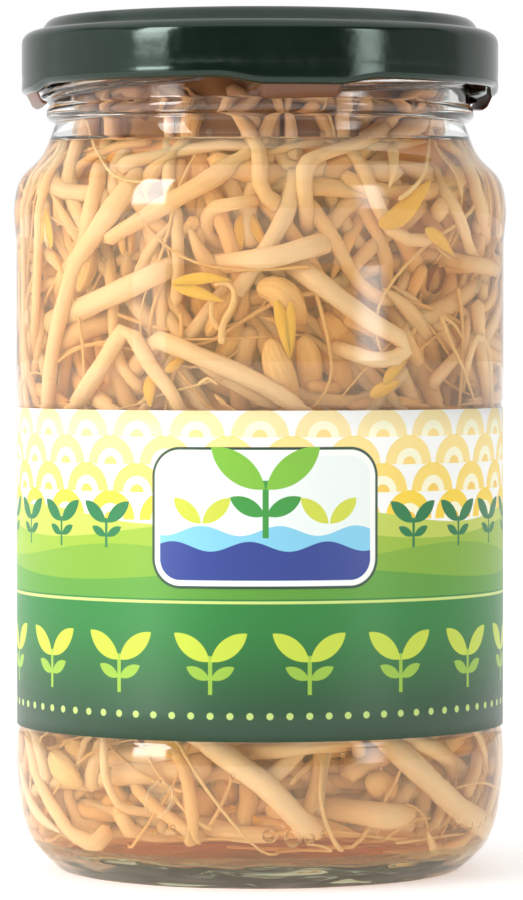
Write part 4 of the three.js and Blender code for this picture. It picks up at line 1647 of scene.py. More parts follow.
# What lies at the front, from the glass inwards: the upper window, the neck, then the lower window.
FRONT_ROWS = (
    (STEM, ((-19.4, 99.8), (-22.4, 96.1), (-25, 92.4), (-27.1, 89.2), (-28.6, 84.3), (-30, 79.2),
     (-30.9, 74), (-31.5, 68.6)), 3.1, 0.35, 2.8),
    (STEM, ((-30.9, 104.5), (-33, 101.6), (-34.5, 97.6), (-35.1, 92.4), (-35.1, 83.6), (-34.8, 76.2),
     (-33.9, 68.9)), 2, 0.3),
    (STEM, ((-28.6, 104.2), (-30.6, 101.3), (-32.1, 97.6), (-32.7, 92.4), (-33, 85.1), (-33.3, 77.7),
     (-32.7, 69.6)), 2.1, 0.25),
    (STEM, ((-29.2, 81), (-25, 82.9), (-20.6, 84.9), (-16.2, 87)), 3.5, 0.6, 3.2),
    (STEM, ((-25.8, 70.4), (-22.8, 74.8), (-20.6, 78.5), (-19.1, 78.9), (-16.2, 74), (-13.3, 70.4),
     (-12.1, 68.1)), 3.1, 0.4, 1.8),
    (STEM, ((-16.2, 76.2), (-15, 77.6), (-12.5, 76.8), (-8.8, 75.2), (-4.4, 73.4), (0, 71.4),
     (3.7, 69.2), (5.9, 67.4)), 2.8, 0.55, 2.5),
    (STEM, ((-13.3, 87.7), (-8.8, 88.6), (-2.9, 89.2), (2.2, 89.9), (5.9, 91)), 2.9, 0.7, 3.2),
    (STEM, ((6.8, 96.9), (6.5, 99.8), (6.3, 102.8), (7.7, 104.2), (10.3, 105.3), (13.3, 106.4),
     (15.9, 107.5)), 2, 0.6, 3.1),
    (STEM, ((5.9, 88), (8.8, 86), (12.5, 83.2), (16.2, 80.5), (19.4, 78.7), (21.4, 77.3), (21.2, 75.7),
     (19.1, 74.8), (16.5, 74.8), (14.7, 75.4)), 3.4, 0.7, 2),
    (STEM, ((3.7, 90.7), (-3.7, 91.4), (-6.6, 92.4), (-7.7, 93.6), (-7.8, 95.7), (-6.9, 97.3),
     (-4.7, 97.7)), 3.1, 0.5, 1.4),
    (YOUNG_LEAF, ((2.4, 83.6), (3.3, 80.4), (4.4, 74.8)), 1.9, 0.5),
    (YOUNG_LEAF, ((4.5, 83.4), (4.6, 79.9), (4.6, 74.8)), 1.5, 0.4),
    (YOUNG_LEAF, ((-13, 86), (-8.1, 86.8), (-4.1, 86.4)), 1.8, 0.5),
    (YOUNG_LEAF, ((-13, 85.8), (-9.1, 84.6), (-5, 83.2)), 1.8, 0.55),
    (SEED_LEAF, ((1.6, 78), (2.8, 73.3), (5.5, 67.9)), 4.2, 0.55),
    (SEED_LEAF, ((6.4, 78.4), (7.3, 73.6), (6.6, 67.9)), 3.7, 0.4),
    (SEED_LEAF, ((-5.4, 98), (-1, 96.3), (3.4, 92.7)), 4.3, 0.4),
    (SEED_LEAF, ((-0.6, 85.3), (3, 84.7), (6.6, 79.8)), 4.4, 0.35),
    (SEED_LEAF, ((-13.1, 86), (-13.7, 82.2), (-11.6, 78.4)), 4.6, 0.2),
    (SEED_LEAF, ((-9.6, 84.6), (-8.6, 81.6), (-10.2, 78.4)), 3.6, 0.3),
    (SEED_LEAF, ((8.9, 81.6), (11.4, 79.4), (14.3, 76)), 4.2, 0.45),
    (SEED_LEAF, ((9, 77.5), (11.3, 74.6), (12.9, 70.6)), 4.3, 0.5),
    (SEED_LEAF, ((-20.4, 94), (-18.2, 92.6), (-17.2, 89.2)), 4.2, 0.3),
    (SEED_LEAF, ((-14.6, 77.6), (-11.8, 78.6), (-9.2, 77.8)), 3.3, 0.6),
    (YOUNG_LEAF, ((17.4, 94.7), (20.9, 96.3), (24.9, 100.9)), 3.1, 0.5),
    (YOUNG_LEAF, ((1, 104.5), (0.4, 102.5), (0.6, 99.8)), 1.4, 0.5),
    (YOUNG_LEAF, ((8.5, 82.4), (10.3, 81.4), (12.1, 79.5)), 1.7, 0.4),
    (YOUNG_LEAF, ((24.3, 94.2), (26.5, 92.7), (28.7, 90.1)), 2.2, 0.4),
    (YOUNG_LEAF, ((-16.2, 72.7), (-16.5, 70.6), (-16.2, 67.7)), 2, 0.3),
    (YOUNG_LEAF, ((-14, 73), (-12.4, 74.2), (-10.6, 75.7)), 1.5, 0.3),
    (YOUNG_LEAF, ((-8.2, 100.7), (-7.1, 102.3), (-5.6, 102.9)), 1.3, 0.4),
    (YOUNG_LEAF, ((16.2, 69.5), (18.3, 70.6), (20.9, 71.8)), 2, 0.5),
    (YOUNG_LEAF, ((18.3, 71.2), (19.7, 73), (22.2, 74.5)), 1.7, 0.5),
    (YOUNG_LEAF, ((-6.8, 98.3), (-5.6, 99.5), (-4.1, 100.7)), 1.8, 0.35),
    (ROOT, ((-20.9, 96.9), (-22.7, 93.2), (-23.9, 89.5), (-24.7, 87.3), (-25.8, 84.9)), 0.7, 0.4),
    (ROOT, ((-2.9, 94.7), (0.3, 93.6), (3.7, 91.7), (5.9, 90.2)), 1, 0.4),
    (ROOT, ((10.3, 96.7), (5.9, 96), (4.4, 95.5), (2.9, 95.5)), 1.1, 0.4, 1.1),
    (ROOT, ((-5.6, 77), (-5.6, 79.2), (-5, 81), (-4, 82.7), (-3.8, 84.8), (-5, 86.1),
     (-6.8, 85.7)), 1.1, 0.3),
    (ROOT, ((-5.9, 79.2), (-7.1, 81), (-7.1, 83.3)), 1, 0.3),
    (ROOT, ((8.8, 74.8), (12.5, 75.5), (15, 73.6), (16.9, 73.9), (19.1, 72.6),
     (20.3, 71.2)), 0.6, 0.3),
    (ROOT, ((26.7, 81.3), (28, 77.7), (29.8, 74), (30.9, 71.1), (31.8, 68.6)), 0.8, 0.3),
    (ROOT, ((26.7, 81.3), (28.7, 79.9), (29.8, 78)), 0.7, 0.3),
    (ROOT, ((-9.1, 71.1), (-7.7, 72.1), (-6.2, 71.1)), 0.6, 0.3),
    (ROOT, ((7.1, 81.8), (8.5, 80.8), (9.7, 79.6)), 1.3, 0.4),
    (STEM, ((2.9, 95.5), (-0.7, 96.6), (-3.2, 97.6)), 3.4, 0.8, 3.6),
    (STEM, ((-0.7, 100.3), (0.7, 99.5), (3.7, 97.6), (6.2, 96)), 2.5, 0.7, 2.8),
    (STEM, ((10, 89.1), (12.5, 92.4), (15.5, 95.1), (18.9, 97.5)), 3.1, 0.6, 3.4),
    (STEM, ((16.2, 93.6), (19.4, 93.8), (21.7, 92.7), (21.8, 90.4)), 1.7, 0.6),
    (STEM, ((19.9, 89.2), (23.6, 90.2), (28, 89.9), (32.4, 88.8)), 2.4, 0.6, 2.5),
    (STEM, ((20.6, 99.8), (20, 102.5), (21.5, 104.2), (24.3, 103.1), (26.5, 100.1), (28.3, 97.6),
     (30.2, 93.9), (31.7, 90.2)), 1.8, 0.55, 2.2),
    (STEM, ((28.3, 105.4), (30.2, 102.5), (31.8, 98.6), (33, 94.2), (33.6, 89.2)), 2.9, 0.5),
    (STEM, ((32.4, 104.2), (34.2, 100.5), (35.1, 96.1), (35.2, 91), (35.2, 83.6)), 1.7, 0.4),
    (STEM, ((-29.5, 77), (-27.3, 78.5), (-24.3, 79.9), (-20.6, 81), (-18.4, 82.9),
     (-16.9, 85.1)), 3.5, 0.5, 3.2),
    (STEM, ((-22.4, 104.5), (-23.9, 99.8), (-25.9, 94.7), (-28, 89.8), (-29.5, 85.1)), 2.5, 0.3),
    (STEM, ((-25.9, 105.7), (-25.9, 103.5), (-26.7, 101.3), (-27.4, 98.6)), 1.7, 0.4),
    (STEM, ((-29.2, 73), (-27.3, 71.8), (-24.3, 69.6), (-21.8, 67.1)), 2.8, 0.4),
    (STEM, ((-10.9, 78.3), (-8.8, 79.5), (-6.5, 81.3)), 3.4, 0.7, 3.6),
    (STEM, ((5.9, 79.5), (6.2, 81.8), (4.7, 84.2), (2.2, 85.7), (-0.3, 84.8)), 2.5, 0.6, 2.2),
    (STEM, ((-2.9, 86.1), (-3.2, 82.1), (-3.2, 77), (-1.8, 72.1)), 2.5, 0.5),
    (STEM, ((-5.6, 71.1), (-2.2, 69.6), (0.6, 68.3)), 2, 0.5),
    (STEM, ((9.6, 68), (11.5, 71.1), (13.6, 73.6)), 3.4, 0.6),
    (STEM, ((17.4, 85.8), (19.4, 82.1), (21.4, 78.3)), 2.2, 0.5),
    (STEM, ((30.9, 74.8), (31.7, 77.4), (32.8, 78), (33.9, 75.5), (34.3, 68.6)), 1.3, 0.5),
    (STEM, ((32.1, 83.9), (30.9, 79.2), (30.5, 74.5)), 1.4, 0.5),
    (STEM, ((21.1, 83.9), (22.8, 79.2), (23.7, 74.8), (25.6, 69.6)), 2.8, 0.5),
    (STEM, ((11.8, 104.2), (10.3, 101.3), (8.5, 97.2)), 2.5, 0.6),
    (SEED_LEAF, ((-11, 98.3), (-9.1, 99.2), (-6.8, 100.1)), 3.8, 0.7),
    (STEM, ((-16.2, 88), (-16.9, 83.6), (-16.2, 78.9)), 2.8, 0.35),
    (STEM, ((-1.5, 85.1), (-0.6, 80.7), (0.1, 76.7)), 1.5, 0.4),
    (SEED_LEAF, ((-14, 84.8), (-13.3, 81.4), (-11.2, 78)), 2.8, 0.5),
    (STEM, ((-10.3, 105.7), (-11.8, 100.5), (-13.3, 95.4), (-14.7, 90.2)), 2.7, 0.5),
    (STEM, ((-16.2, 98.3), (-10.3, 96.1), (-5.2, 93.2), (-1.5, 89.2)), 2.5, 0.5),
    (STEM, ((-4.4, 105.7), (-1.5, 102.8), (2.9, 100.5), (8.8, 99.1)), 2.4, 0.6),
    (STEM, ((13.3, 91), (16.2, 88), (17.7, 83.6), (19.9, 80.7)), 2.7, 0.5),
    (STEM, ((25, 105.7), (20.6, 104.5), (15.5, 102.8), (11.8, 99.8)), 2.4, 0.6),
    (STEM, ((11.8, 79.2), (16.2, 77), (20.6, 73.3), (24.3, 68.9)), 2.8, 0.6),
    (STEM, ((27.3, 83.6), (25, 79.2), (26.5, 74.8), (29.5, 69.6)), 2.5, 0.5),
    (STEM, ((-22.1, 95.4), (-19.1, 91), (-18.4, 86.6), (-19.1, 80.7)), 2.7, 0.3),
    (STEM, ((-25, 83.6), (-26.5, 79.2), (-26.8, 74.8), (-25.8, 68.9)), 2.5, 0.3),
    (STEM, ((-11.8, 72.6), (-8.1, 69.6), (-5.2, 67.1)), 2.7, 0.4),
    (STEM, ((-29.5, 91), (-30.2, 85.1), (-29.2, 79.2), (-29.5, 71.8)), 2.4, 0.25),
    (STEM, ((-11.8, 106.9), (-6.6, 108.1), (-1.5, 109.1), (3.7, 110.6), (7.7, 111.4)), 2.2, 0.5, 2.1),
    (STEM, ((-11.8, 106.1), (-4.4, 106), (1.5, 106.9), (3.7, 107.9), (3.4, 108.9)), 1.7, 0.6, 1.4),
    (STEM, ((8.8, 105.7), (14.7, 106.9), (20.6, 105.7), (28, 105.7)), 2.1, 0.5),
    (STEM, ((-22.1, 105.7), (-17.7, 107.5), (-12.5, 108.6), (-8.8, 110.4)), 1.8, 0.4),
    (STEM, ((12.5, 110.4), (17.7, 109.5), (22.8, 108.4), (26.5, 106.4)), 1.8, 0.5),
    (STEM, ((-33.9, 17.3), (-32.7, 12.9), (-30.2, 8.5), (-27.3, 5.5), (-24.3, 3.2)), 2.4, 0.4, 2.5),
    (STEM, ((-23.1, 17.6), (-22.8, 12.9), (-21.4, 10), (-19.9, 8.5), (-16.2, 7.7),
     (-11, 5.5)), 1.3, 0.5, 1.4),
    (STEM, ((-8.1, 18.5), (-2.9, 14.7), (0.7, 12.2), (3.5, 9.4), (5.3, 7.3)), 3.4, 0.6, 3.2),
    (STEM, ((20.3, 17), (25, 12.9), (28.7, 9.2), (32.7, 6)), 3.6, 0.6, 3.4),
    (STEM, ((5.6, 8.2), (11.8, 8.2), (17.4, 7.6)), 3.4, 0.6, 3.6),
    (STEM, ((-17.4, 14.2), (-14.6, 14.4), (-11.9, 14.6)), 3.4, 0.8, 3.6),
    (SEED_LEAF, ((-31, 16.6), (-29.4, 14.8), (-26.2, 12.1)), 4.2, 0.5),
    (SEED_LEAF, ((-28.4, 17.9), (-26, 16.4), (-24, 13.1)), 3.7, 0.65),
    (SEED_LEAF, ((-10.4, 12.0), (-9.1, 9.3), (-6.8, 6.9)), 4.2, 0.6),
    (SEED_LEAF, ((-7.4, 13.3), (-5.6, 11.2), (-4.0, 8.4)), 4.1, 0.7),
    (SEED_LEAF, ((-4.4, 8.4), (-2.3, 5.8), (0.8, 3.4)), 4.4, 0.5),
    (SEED_LEAF, ((-1.4, 9.3), (0.8, 7.2), (2.6, 4.4)), 3.9, 0.65),
    (SEED_LEAF, ((15.7, 13.2), (18.3, 11.8), (21.3, 8.6)), 4.2, 0.6),
    (SEED_LEAF, ((18.5, 14.8), (21.5, 13.2), (23.4, 9.8)), 3.9, 0.6),
    (STEM, ((-11.8, 7), (-6.6, 4.8), (-1.5, 2.6), (1.2, 1.1)), 2.9, 0.4, 2.8),
    (STEM, ((-11, 10.3), (-8.8, 8.5), (-4.4, 4.8), (-0.7, 2.6)), 2.7, 0.35, 2.5),
    (STEM, ((-2.2, 17), (2.9, 17.3), (8.1, 17.9), (13, 18.1)), 2.8, 0.7),
    (ROOT, ((12.5, 18.1), (9.6, 16.6), (6.6, 14.4), (4.4, 12.2)), 1.1, 0.5),
    (STEM, ((11.5, 5.2), (16.5, 5.8), (18.9, 2.9)), 1.8, 0.4),
    (STEM, ((23.3, 6.7), (30.9, 6.1)), 3.4, 0.5),
    (STEM, ((32.1, 19.5), (33.1, 15.9), (32.8, 12.9), (31.7, 10.4)), 1.5, 0.4),
    (ROOT, ((-33.9, 17.9), (-31.7, 17), (-29.2, 18.2)), 0.7, 0.3),
    (YOUNG_LEAF, ((-22.8, 15.3), (-21.1, 14.1), (-18.9, 13.1)), 1.3, 0.3),
    (YOUNG_LEAF, ((15, 18.5), (16.5, 17.6), (18.1, 16)), 1.8, 0.5),
    (YOUNG_LEAF, ((13.8, 14.7), (15, 13.8), (16.2, 12.8)), 1.4, 0.4),
    (YOUNG_LEAF, ((32.4, 17.9), (33.4, 17), (34.6, 15.7)), 1.7, 0.5),
    (STEM, ((-23.6, 7), (-19.9, 5.7), (-14.7, 6.7), (-10, 6.1)), 2.2, 0.4),
    (STEM, ((5.9, 14.4), (10.3, 12.2), (14, 10), (16.2, 6.7)), 2.5, 0.6),
    (STEM, ((-22.1, 18.8), (-19.1, 16.6), (-16.2, 13.6), (-14.7, 10)), 2.4, 0.5),
    (STEM, ((23.6, 18.1), (27.3, 15.9), (30.9, 11.4), (33.9, 10)), 2.5, 0.5),
    (STEM, ((10.3, 1.1), (15.5, 0.8), (20.6, 1.4), (26.5, 3.3)), 2.4, 0.4),
    (STEM, ((-20.6, 2.6), (-14.7, 1.7), (-8.8, 1.1)), 2.2, 0.3),
    (STEM, ((-29.5, 10), (-25, 9.2), (-20.6, 5.5), (-16.2, 2.6)), 2.4, 0.4),
)
FRONT = tuple(Lying(*row) for row in FRONT_ROWS)


@dataclass
class Sprouts:
    """The bunch of sprouts: those at the front, those that fill the jar, the loose ones and the hulls."""

    jar: GlassJar
    seed: int = 41
    fillers: int = 3600
    most_depth: float = 9.0
    hidden: Pair = (25.0, 64.5)
    hidden_depth: float = 4.5
    lowest_run: float = 15.0
    highest: float = 113.5
    stem_r: float = 1.34
    even_steps: Pair = (0.7548777, 0.5698403)
    least_length: float = 20.0
    more_length: float = 24.0
    crossing_share: float = 0.35
    most_bend: float = 110.0
    hooks: tuple[int, ...] = (0, 0, 70, -70, 130)
    thin_share: float = 0.045
    rooted_share: float = 0.3
    seed_share: float = 0.3
    leaf_share: float = 0.12
    head_radius: float = 1.9
    head_length: float = 6.5
    leaf_overlap: float = 1.2
    bean_half: float = 1.55
    front_half: float = 75.0
    least_front: Pair = (1.8, 6.0)
    least_depth: Pair = (0.1, 3.0)
    high_up: float = 96.0
    high_depth: float = 5.6
    core_low: float = 8.0
    core_high: float = 115.0
    core_lump: float = 0.03
    # Heights, and how deep the core lies behind the glass at each.
    core_depths: tuple[tuple[float, ...], ...] = ((97.0, 100.0, 106.0), (7.6, 5.6, 3.4))
    tail: float = 4.5
    sink: float = 3.2
    seen_depth: float = 5.0
    deepest_front: float = 9.0
    random: np.random.Generator = field(init=False)

    def __post_init__(self) -> None:
        """Prepares the wall, the pile, the moulds and an empty mesh for each kind."""
        self.random = np.random.default_rng(self.seed)
        self.wall = InnerWall(self.jar)
        self.view = FrontView(self.wall)
        self.pile = Pile(self.wall)
        fine, plain = ((14, 24), (8, 20), (14, 14), (12, 14)), ((8, 12), (4, 9), (8, 6), (6, 6))
        self.fine = {form: Mould(*size) for form, size in zip(Form, fine)}
        self.plain = {form: Mould(*size) for form, size in zip(Form, plain)}
        self.front = {form: Bunch() for form in Form}
        self.fill = {form: Bunch() for form in Form}

    # -- what lies at the front

    def lay_front(self, part: Lying) -> None:
        """Lays a part that is seen at the front, behind the parts laid before it.

        Args:
            part: The part.
        """
        route = np.array(part.route, dtype=float)
        tail = self.tail if part.form is STEM else 0.0
        if tail:
            first = route[0] + unit(route[0] - route[1]) * tail
            last = route[-1] + unit(route[-1] - route[-2]) * tail
            route = np.concatenate([[first], route, [last]])
        line = curve_through(route, 0.8)
        steps = np.concatenate([[0.0], np.cumsum(np.linalg.norm(np.diff(line, axis=0), axis=1))])
        beyond = np.maximum(tail - np.minimum(steps, steps[-1] - steps), 0.0) / max(tail, 1.0)
        sink = self.sink * beyond**1.5
        across, up = line.T
        thick = {STEM: 0.5, ROOT: 0.5, SEED_LEAF: 0.42, YOUNG_LEAF: 0.16}[part.form]
        radii = np.linspace(part.width, part.last_width, len(line)) * thick
        depth = radii + 0.1
        for _ in range(3):
            seen_depth = np.minimum(depth, self.seen_depth)
            azimuth = self.view.azimuth(across, up, seen_depth)
            run = self.wall.run_at(self.view.height(across, up, seen_depth))
            depth = np.minimum(soften(self.pile.settle(azimuth, run, radii)) + sink, self.deepest_front)
        self.finish_part(part, azimuth, run, depth, radii)

    def finish_part(self, part: Lying, azimuth: Array, run: Array, depth: Array, radii: Array) -> None:
        """Casts a front part on its settled route and adds it to the pile.

        Args:
            part: The part.
            azimuth: Degrees round the jar, along its route.
            run: Runs up the wall.
            depth: Depths behind the glass.
            radii: Its radii.
        """
        places, inward = self.wall.at(azimuth, run)
        places = places + inward * depth[:, None]
        path = Path(places, -inward)
        half, end_half = part.width / 2, part.last_width / 2
        bunch, mould = self.front[part.form], self.fine[part.form]
        if part.form is SEED_LEAF:
            skin = Skin(leaf_size(path.length, half, *SEED_SHAPE), part.tone, thick=0.82, flat=0.5)
        elif part.form is YOUNG_LEAF:
            skin = Skin(leaf_size(path.length, half, *YOUNG_SHAPE), part.tone, thick=0.2, fold=-0.22)
        elif part.form is ROOT:
            skin = Skin(stem_size(path.length, half, end_half * 0.6), part.tone, thick=1.0)
        else:
            skin = Skin(stem_size(path.length, half, end_half), part.tone)
        bunch.cast(mould, path, skin)
        self.pile.add(places, radii)

    # -- what fills the jar

    def grain(self, azimuth: float, height: float) -> float:
        """The slope in degrees at which sprouts tend to lie at a place."""
        a = math.radians(azimuth)
        return 68 * math.sin(a + height / 21 + 0.6) + 22 * math.sin(2 * a - height / 13)

    def wander(self, index: int) -> tuple[Array, Array, float]:
        """The route of a filler along the wall, spread evenly by its number.

        Args:
            index: The filler's number.

        Returns:
            Azimuths, runs and the route's length.
        """
        random = self.random
        around_step, up_step = self.even_steps
        azimuth = 360.0 * ((index * around_step + 0.2) % 1)
        top_run = float(self.wall.run_at(np.array(self.highest)))
        run = self.lowest_run + 4 + (top_run - self.lowest_run - 8) * ((index * up_step + 0.4) % 1)
        length = self.least_length + self.more_length * random.random()
        height = float(np.interp(run, self.wall.run, self.wall.height))
        heading = math.radians(self.grain(azimuth, height) + 70 * (random.random() - 0.5))
        if random.random() < self.crossing_share:
            heading += math.pi / 2 * (1 if random.random() < 0.5 else -1)
        bend = math.radians(self.most_bend * (random.random() - 0.5))
        hook = math.radians(random.choice(self.hooks)) * (0.6 + 0.4 * random.random())
        steps = max(8, round(length / 2.2))
        share = (np.arange(steps + 1) / steps)[:, None]
        turn = heading + bend * (share - 0.5) + 0.22 * np.sin(share * 5 + index)
        turn = turn + hook * (share - 0.72).clip(0) / 0.28
        reach = length / steps
        runs = run + np.cumsum(np.sin(turn[:, 0]) * reach) - np.sin(heading) * length / 2
        runs = np.clip(runs, self.lowest_run, top_run)
        radius = np.maximum(self.wall.radius_at(runs) - 3.0, 9.0)
        azimuths = azimuth + np.degrees(np.cumsum(np.cos(turn[:, 0]) * reach / radius))
        azimuths -= math.degrees(math.cos(heading) * length / 2 / radius.mean())
        return azimuths, runs, length

    def lay_filler(self, index: int) -> bool:
        """Lays a filler sprout where there is room for it.

        Args:
            index: Its number.

        Returns:
            Whether there was room.
        """
        azimuth, run, length = self.wander(index)
        height = np.interp(run, self.wall.run, self.wall.height)
        middle = height[len(height) // 2]
        hidden = self.hidden[0] < middle < self.hidden[1]
        if hidden and index % 3:
            return False
        half = self.stem_r * (0.76 + 0.42 * self.random.random())
        head = self.random.random()
        rooted = self.random.random() < self.rooted_share
        thin = self.random.random() < self.thin_share
        if thin:
            half, head, rooted = 0.24 * half, 1.0, False
        tone, leaf_tone = self.random.random(), self.random.random()
        roll = 180 * self.random.random()
        radii = np.full(len(run), half)
        if head < self.seed_share:
            radii[-4:] = self.head_radius
        if rooted:
            radii[:5] *= 0.45
        front = abs((azimuth[len(azimuth) // 2] + 180) % 360 - 180) < self.front_half
        high = middle > self.high_up
        least = self.random.uniform(*(self.least_front if front and not high else self.least_depth))
        if thin:
            least *= 0.5
        depth = soften(self.pile.settle(azimuth, run, radii, least))
        allowed = self.hidden_depth if hidden else self.most_depth
        if high:
            allowed = self.high_depth
        if depth.max() > allowed:
            return False
        places, inward = self.wall.at(azimuth, run)
        places = places + inward * depth[:, None]
        line, outward = curve_through(places, 1.0), curve_through(-inward, 10.0)
        shares, known = np.linspace(0, 1, len(line)), np.linspace(0, 1, len(outward))
        path = Path(line, np.stack([np.interp(shares, known, column) for column in outward.T], axis=1))
        if thin:
            skin = Skin(stem_size(path.length, half, half * 0.5), tone)
            self.fill[ROOT].cast(self.fine[ROOT], path, skin)
        else:
            self.grow(path, half, head, rooted, tone, leaf_tone, roll)
        self.pile.add(places, radii)
        return True

    def grow(
        self, path: Path, half: float, head: float, rooted: bool, tone: float, leaf_tone: float, roll: float
    ) -> None:
        """Makes a filler: its stem, and seed leaves or young leaves at its end.

        Args:
            path: Its path, from its root to its head.
            half: Its stem's radius.
            head: A share that picks what it bears.
            rooted: Whether its start narrows into a root.
            tone: The stem's tone.
            leaf_tone: The leaves' tone.
            roll: How its seed leaves are turned, in degrees.
        """
        length = path.length
        root = 0.34 * length if rooted else 0.0
        neck = length - (self.head_length if head < self.seed_share else 0.0)
        skin = Skin(stem_size(neck, half, half * 0.86, root), tone, end=neck)
        self.fill[STEM].cast(self.plain[STEM], path, skin)
        if head < self.seed_share:
            start = neck - self.leaf_overlap
            size = leaf_size(length - start, self.bean_half, *SEED_SHAPE)
            for side in (-1, 1):
                leaf = Skin(size, leaf_tone, start, length, thick=0.72, flat=0.3, offset=(0.0, 0.35))
                leaf.roll = roll + 90 * side
                self.fill[SEED_LEAF].cast(self.plain[SEED_LEAF], path, leaf)
        elif head < self.seed_share + self.leaf_share:
            start, offset = length - 6.0, (0.0, 0.5 * half)
            size = leaf_size(7.0, 1.1, *YOUNG_SHAPE)
            for side in (-1, 1):
                leaf = Skin(size, leaf_tone, start, length, thick=0.25, fold=0.2, offset=offset)
                leaf.spread = 1.8 * side
                self.fill[YOUNG_LEAF].cast(self.plain[YOUNG_LEAF], path, leaf)

    def core(self) -> None:
        """Fills the middle of the stems' mesh with a lumpy body that they lie round, in a flesh with painted
        shade.
        """
        outline = Outline(0.0, self.core_low)
        for run in np.linspace(26.0, float(self.wall.run_at(np.array(self.core_high + 1.0))), 30):
            place, inward = self.wall.at(np.array([0.0]), np.array([run]))
            spot = place[0] + inward[0] * float(np.interp(place[0][2], *self.core_depths))
            outline.to(float(-spot[1]), float(spot[2]))
        outline.to(0.0, self.core_high)
        bm = spun(outline, 72)
        for vert in bm.verts:
            x, y, z = (c / MM for c in vert.co)
            lump = math.sin(x * 0.9 + z * 0.5) + math.sin(y * 1.1 - z * 0.4) + math.sin(z * 0.8 + x * 0.3)
            vert.co.x *= 1 + self.core_lump * lump
            vert.co.y *= 1 + self.core_lump * lump
        for face in bm.faces:
            face.material_index = 1
        mesh = bpy.data.meshes.new("core")
        bm.to_mesh(mesh)
        bm.free()
        self.fill[STEM].bm.from_mesh(mesh)
        bpy.data.meshes.remove(mesh)

    # -- the loose sprouts and the hulls

    def loose(self, arch: Arch) -> None:
        """Makes a sprout that spans the neck as a shallow arch between two places near the glass.

        Args:
            arch: Its places and sizes.
        """
        ends = zip(arch.radii, arch.azimuths, arch.heights)
        start, end = (np.array(on_circle(*place)) / MM for place in ends)
        middle = (start + end) / 2
        side = unit(np.array([-(end[1] - start[1]), end[0] - start[0], 0.0]))
        if side @ middle < 0:
            side = -side
        up = np.array([0.0, 0.0, 1.0])
        points = np.stack(
            [
                start,
                (start + middle) / 2 + side * arch.bow * 0.5 + up * arch.lift * 0.8,
                middle + side * arch.bow * 0.35 + up * arch.lift,
                (middle + end) / 2 + side * arch.bow * 0.2 + up * arch.lift * 0.8,
                end,
            ]
        )
        line = curve_through(points, 1.0)
        path = Path(line, np.tile(up, (len(line), 1)))
        bunch = Bunch()
        size = stem_size(path.length, arch.half * 0.8, arch.half * 0.9)
        bunch.cast(self.fine[STEM], path, Skin(size, 0.6))
        along = unit(line[-1] - line[-3])
        across = np.cross(along, up)
        length, spread, apart = (6.0, 0.32, 0.3) if arch.leafy else (6.6, 0.08, 1.05)
        for turn in (-1, 1):
            ahead = unit(along + across * turn * spread)
            tip = line[-1] - along * 1.2 + across * turn * apart + np.outer(np.linspace(0, length, 8), ahead)
            blade = Path(tip, np.tile(up, (8, 1)))
            if arch.leafy:
                skin = Skin(leaf_size(length, 1.2, *YOUNG_SHAPE), 0.6, thick=0.25, fold=0.2)
            else:
                size = leaf_size(length, 1.25, *SEED_SHAPE)
                skin = Skin(size, 0.5, thick=0.95, roll=90.0 * turn, flat=0.6)
            bunch.cast(self.fine[YOUNG_LEAF if arch.leafy else SEED_LEAF], blade, skin)
        material = YELLOW_LEAF if arch.leafy else SEED_FLESH
        stem_faces = len(self.fine[STEM].mesh.polygons)
        bunch.bm.faces.ensure_lookup_table()
        for face in bunch.bm.faces[stem_faces:]:
            face.material_index = 1
        materials = [STEM_FLESH.make(), material.make()]
        add_piece(arch.name, bunch.bm, materials, JAR_BODY, [arch.name])

    def hull(self, name: str, hull: Hull, material: bpy.types.Material, replaced: Sequence[str]) -> None:
        """Makes a loose seed hull: a curled shell, open along one side.

        Args:
            name: Its name.
            hull: Its place, turns and size.
            material: Its finish.
            replaced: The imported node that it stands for, if any.
        """
        bm = bmesh.new()
        bm.loops.layers.uv.new("UVMap")
        bmesh.ops.create_grid(bm, x_segments=hull.around, y_segments=hull.rows, size=1.0, calc_uvs=True)
        matrix = Euler(hull.turn).to_matrix()
        half, outer = 2.6 * hull.scale, 2.05 * hull.scale
        for vert in bm.verts:
            a = hull.curl_from + hull.curl * (vert.co.x + 1) / 2
            along = vert.co.y
            size = outer * (1 - 0.55 * abs(along) ** 3)
            lift = along * half * (1 - 0.1 * math.sin(a))
            vert.co = (hull.centre + matrix @ Vector((size * math.cos(a), size * math.sin(a), lift))) * MM
        face_out(bm)
        bmesh.ops.solidify(bm, geom=bm.faces, thickness=hull.thick * hull.scale * MM)
        face_out(bm)
        add_piece(name, bm, [material], JAR_BODY, replaced)

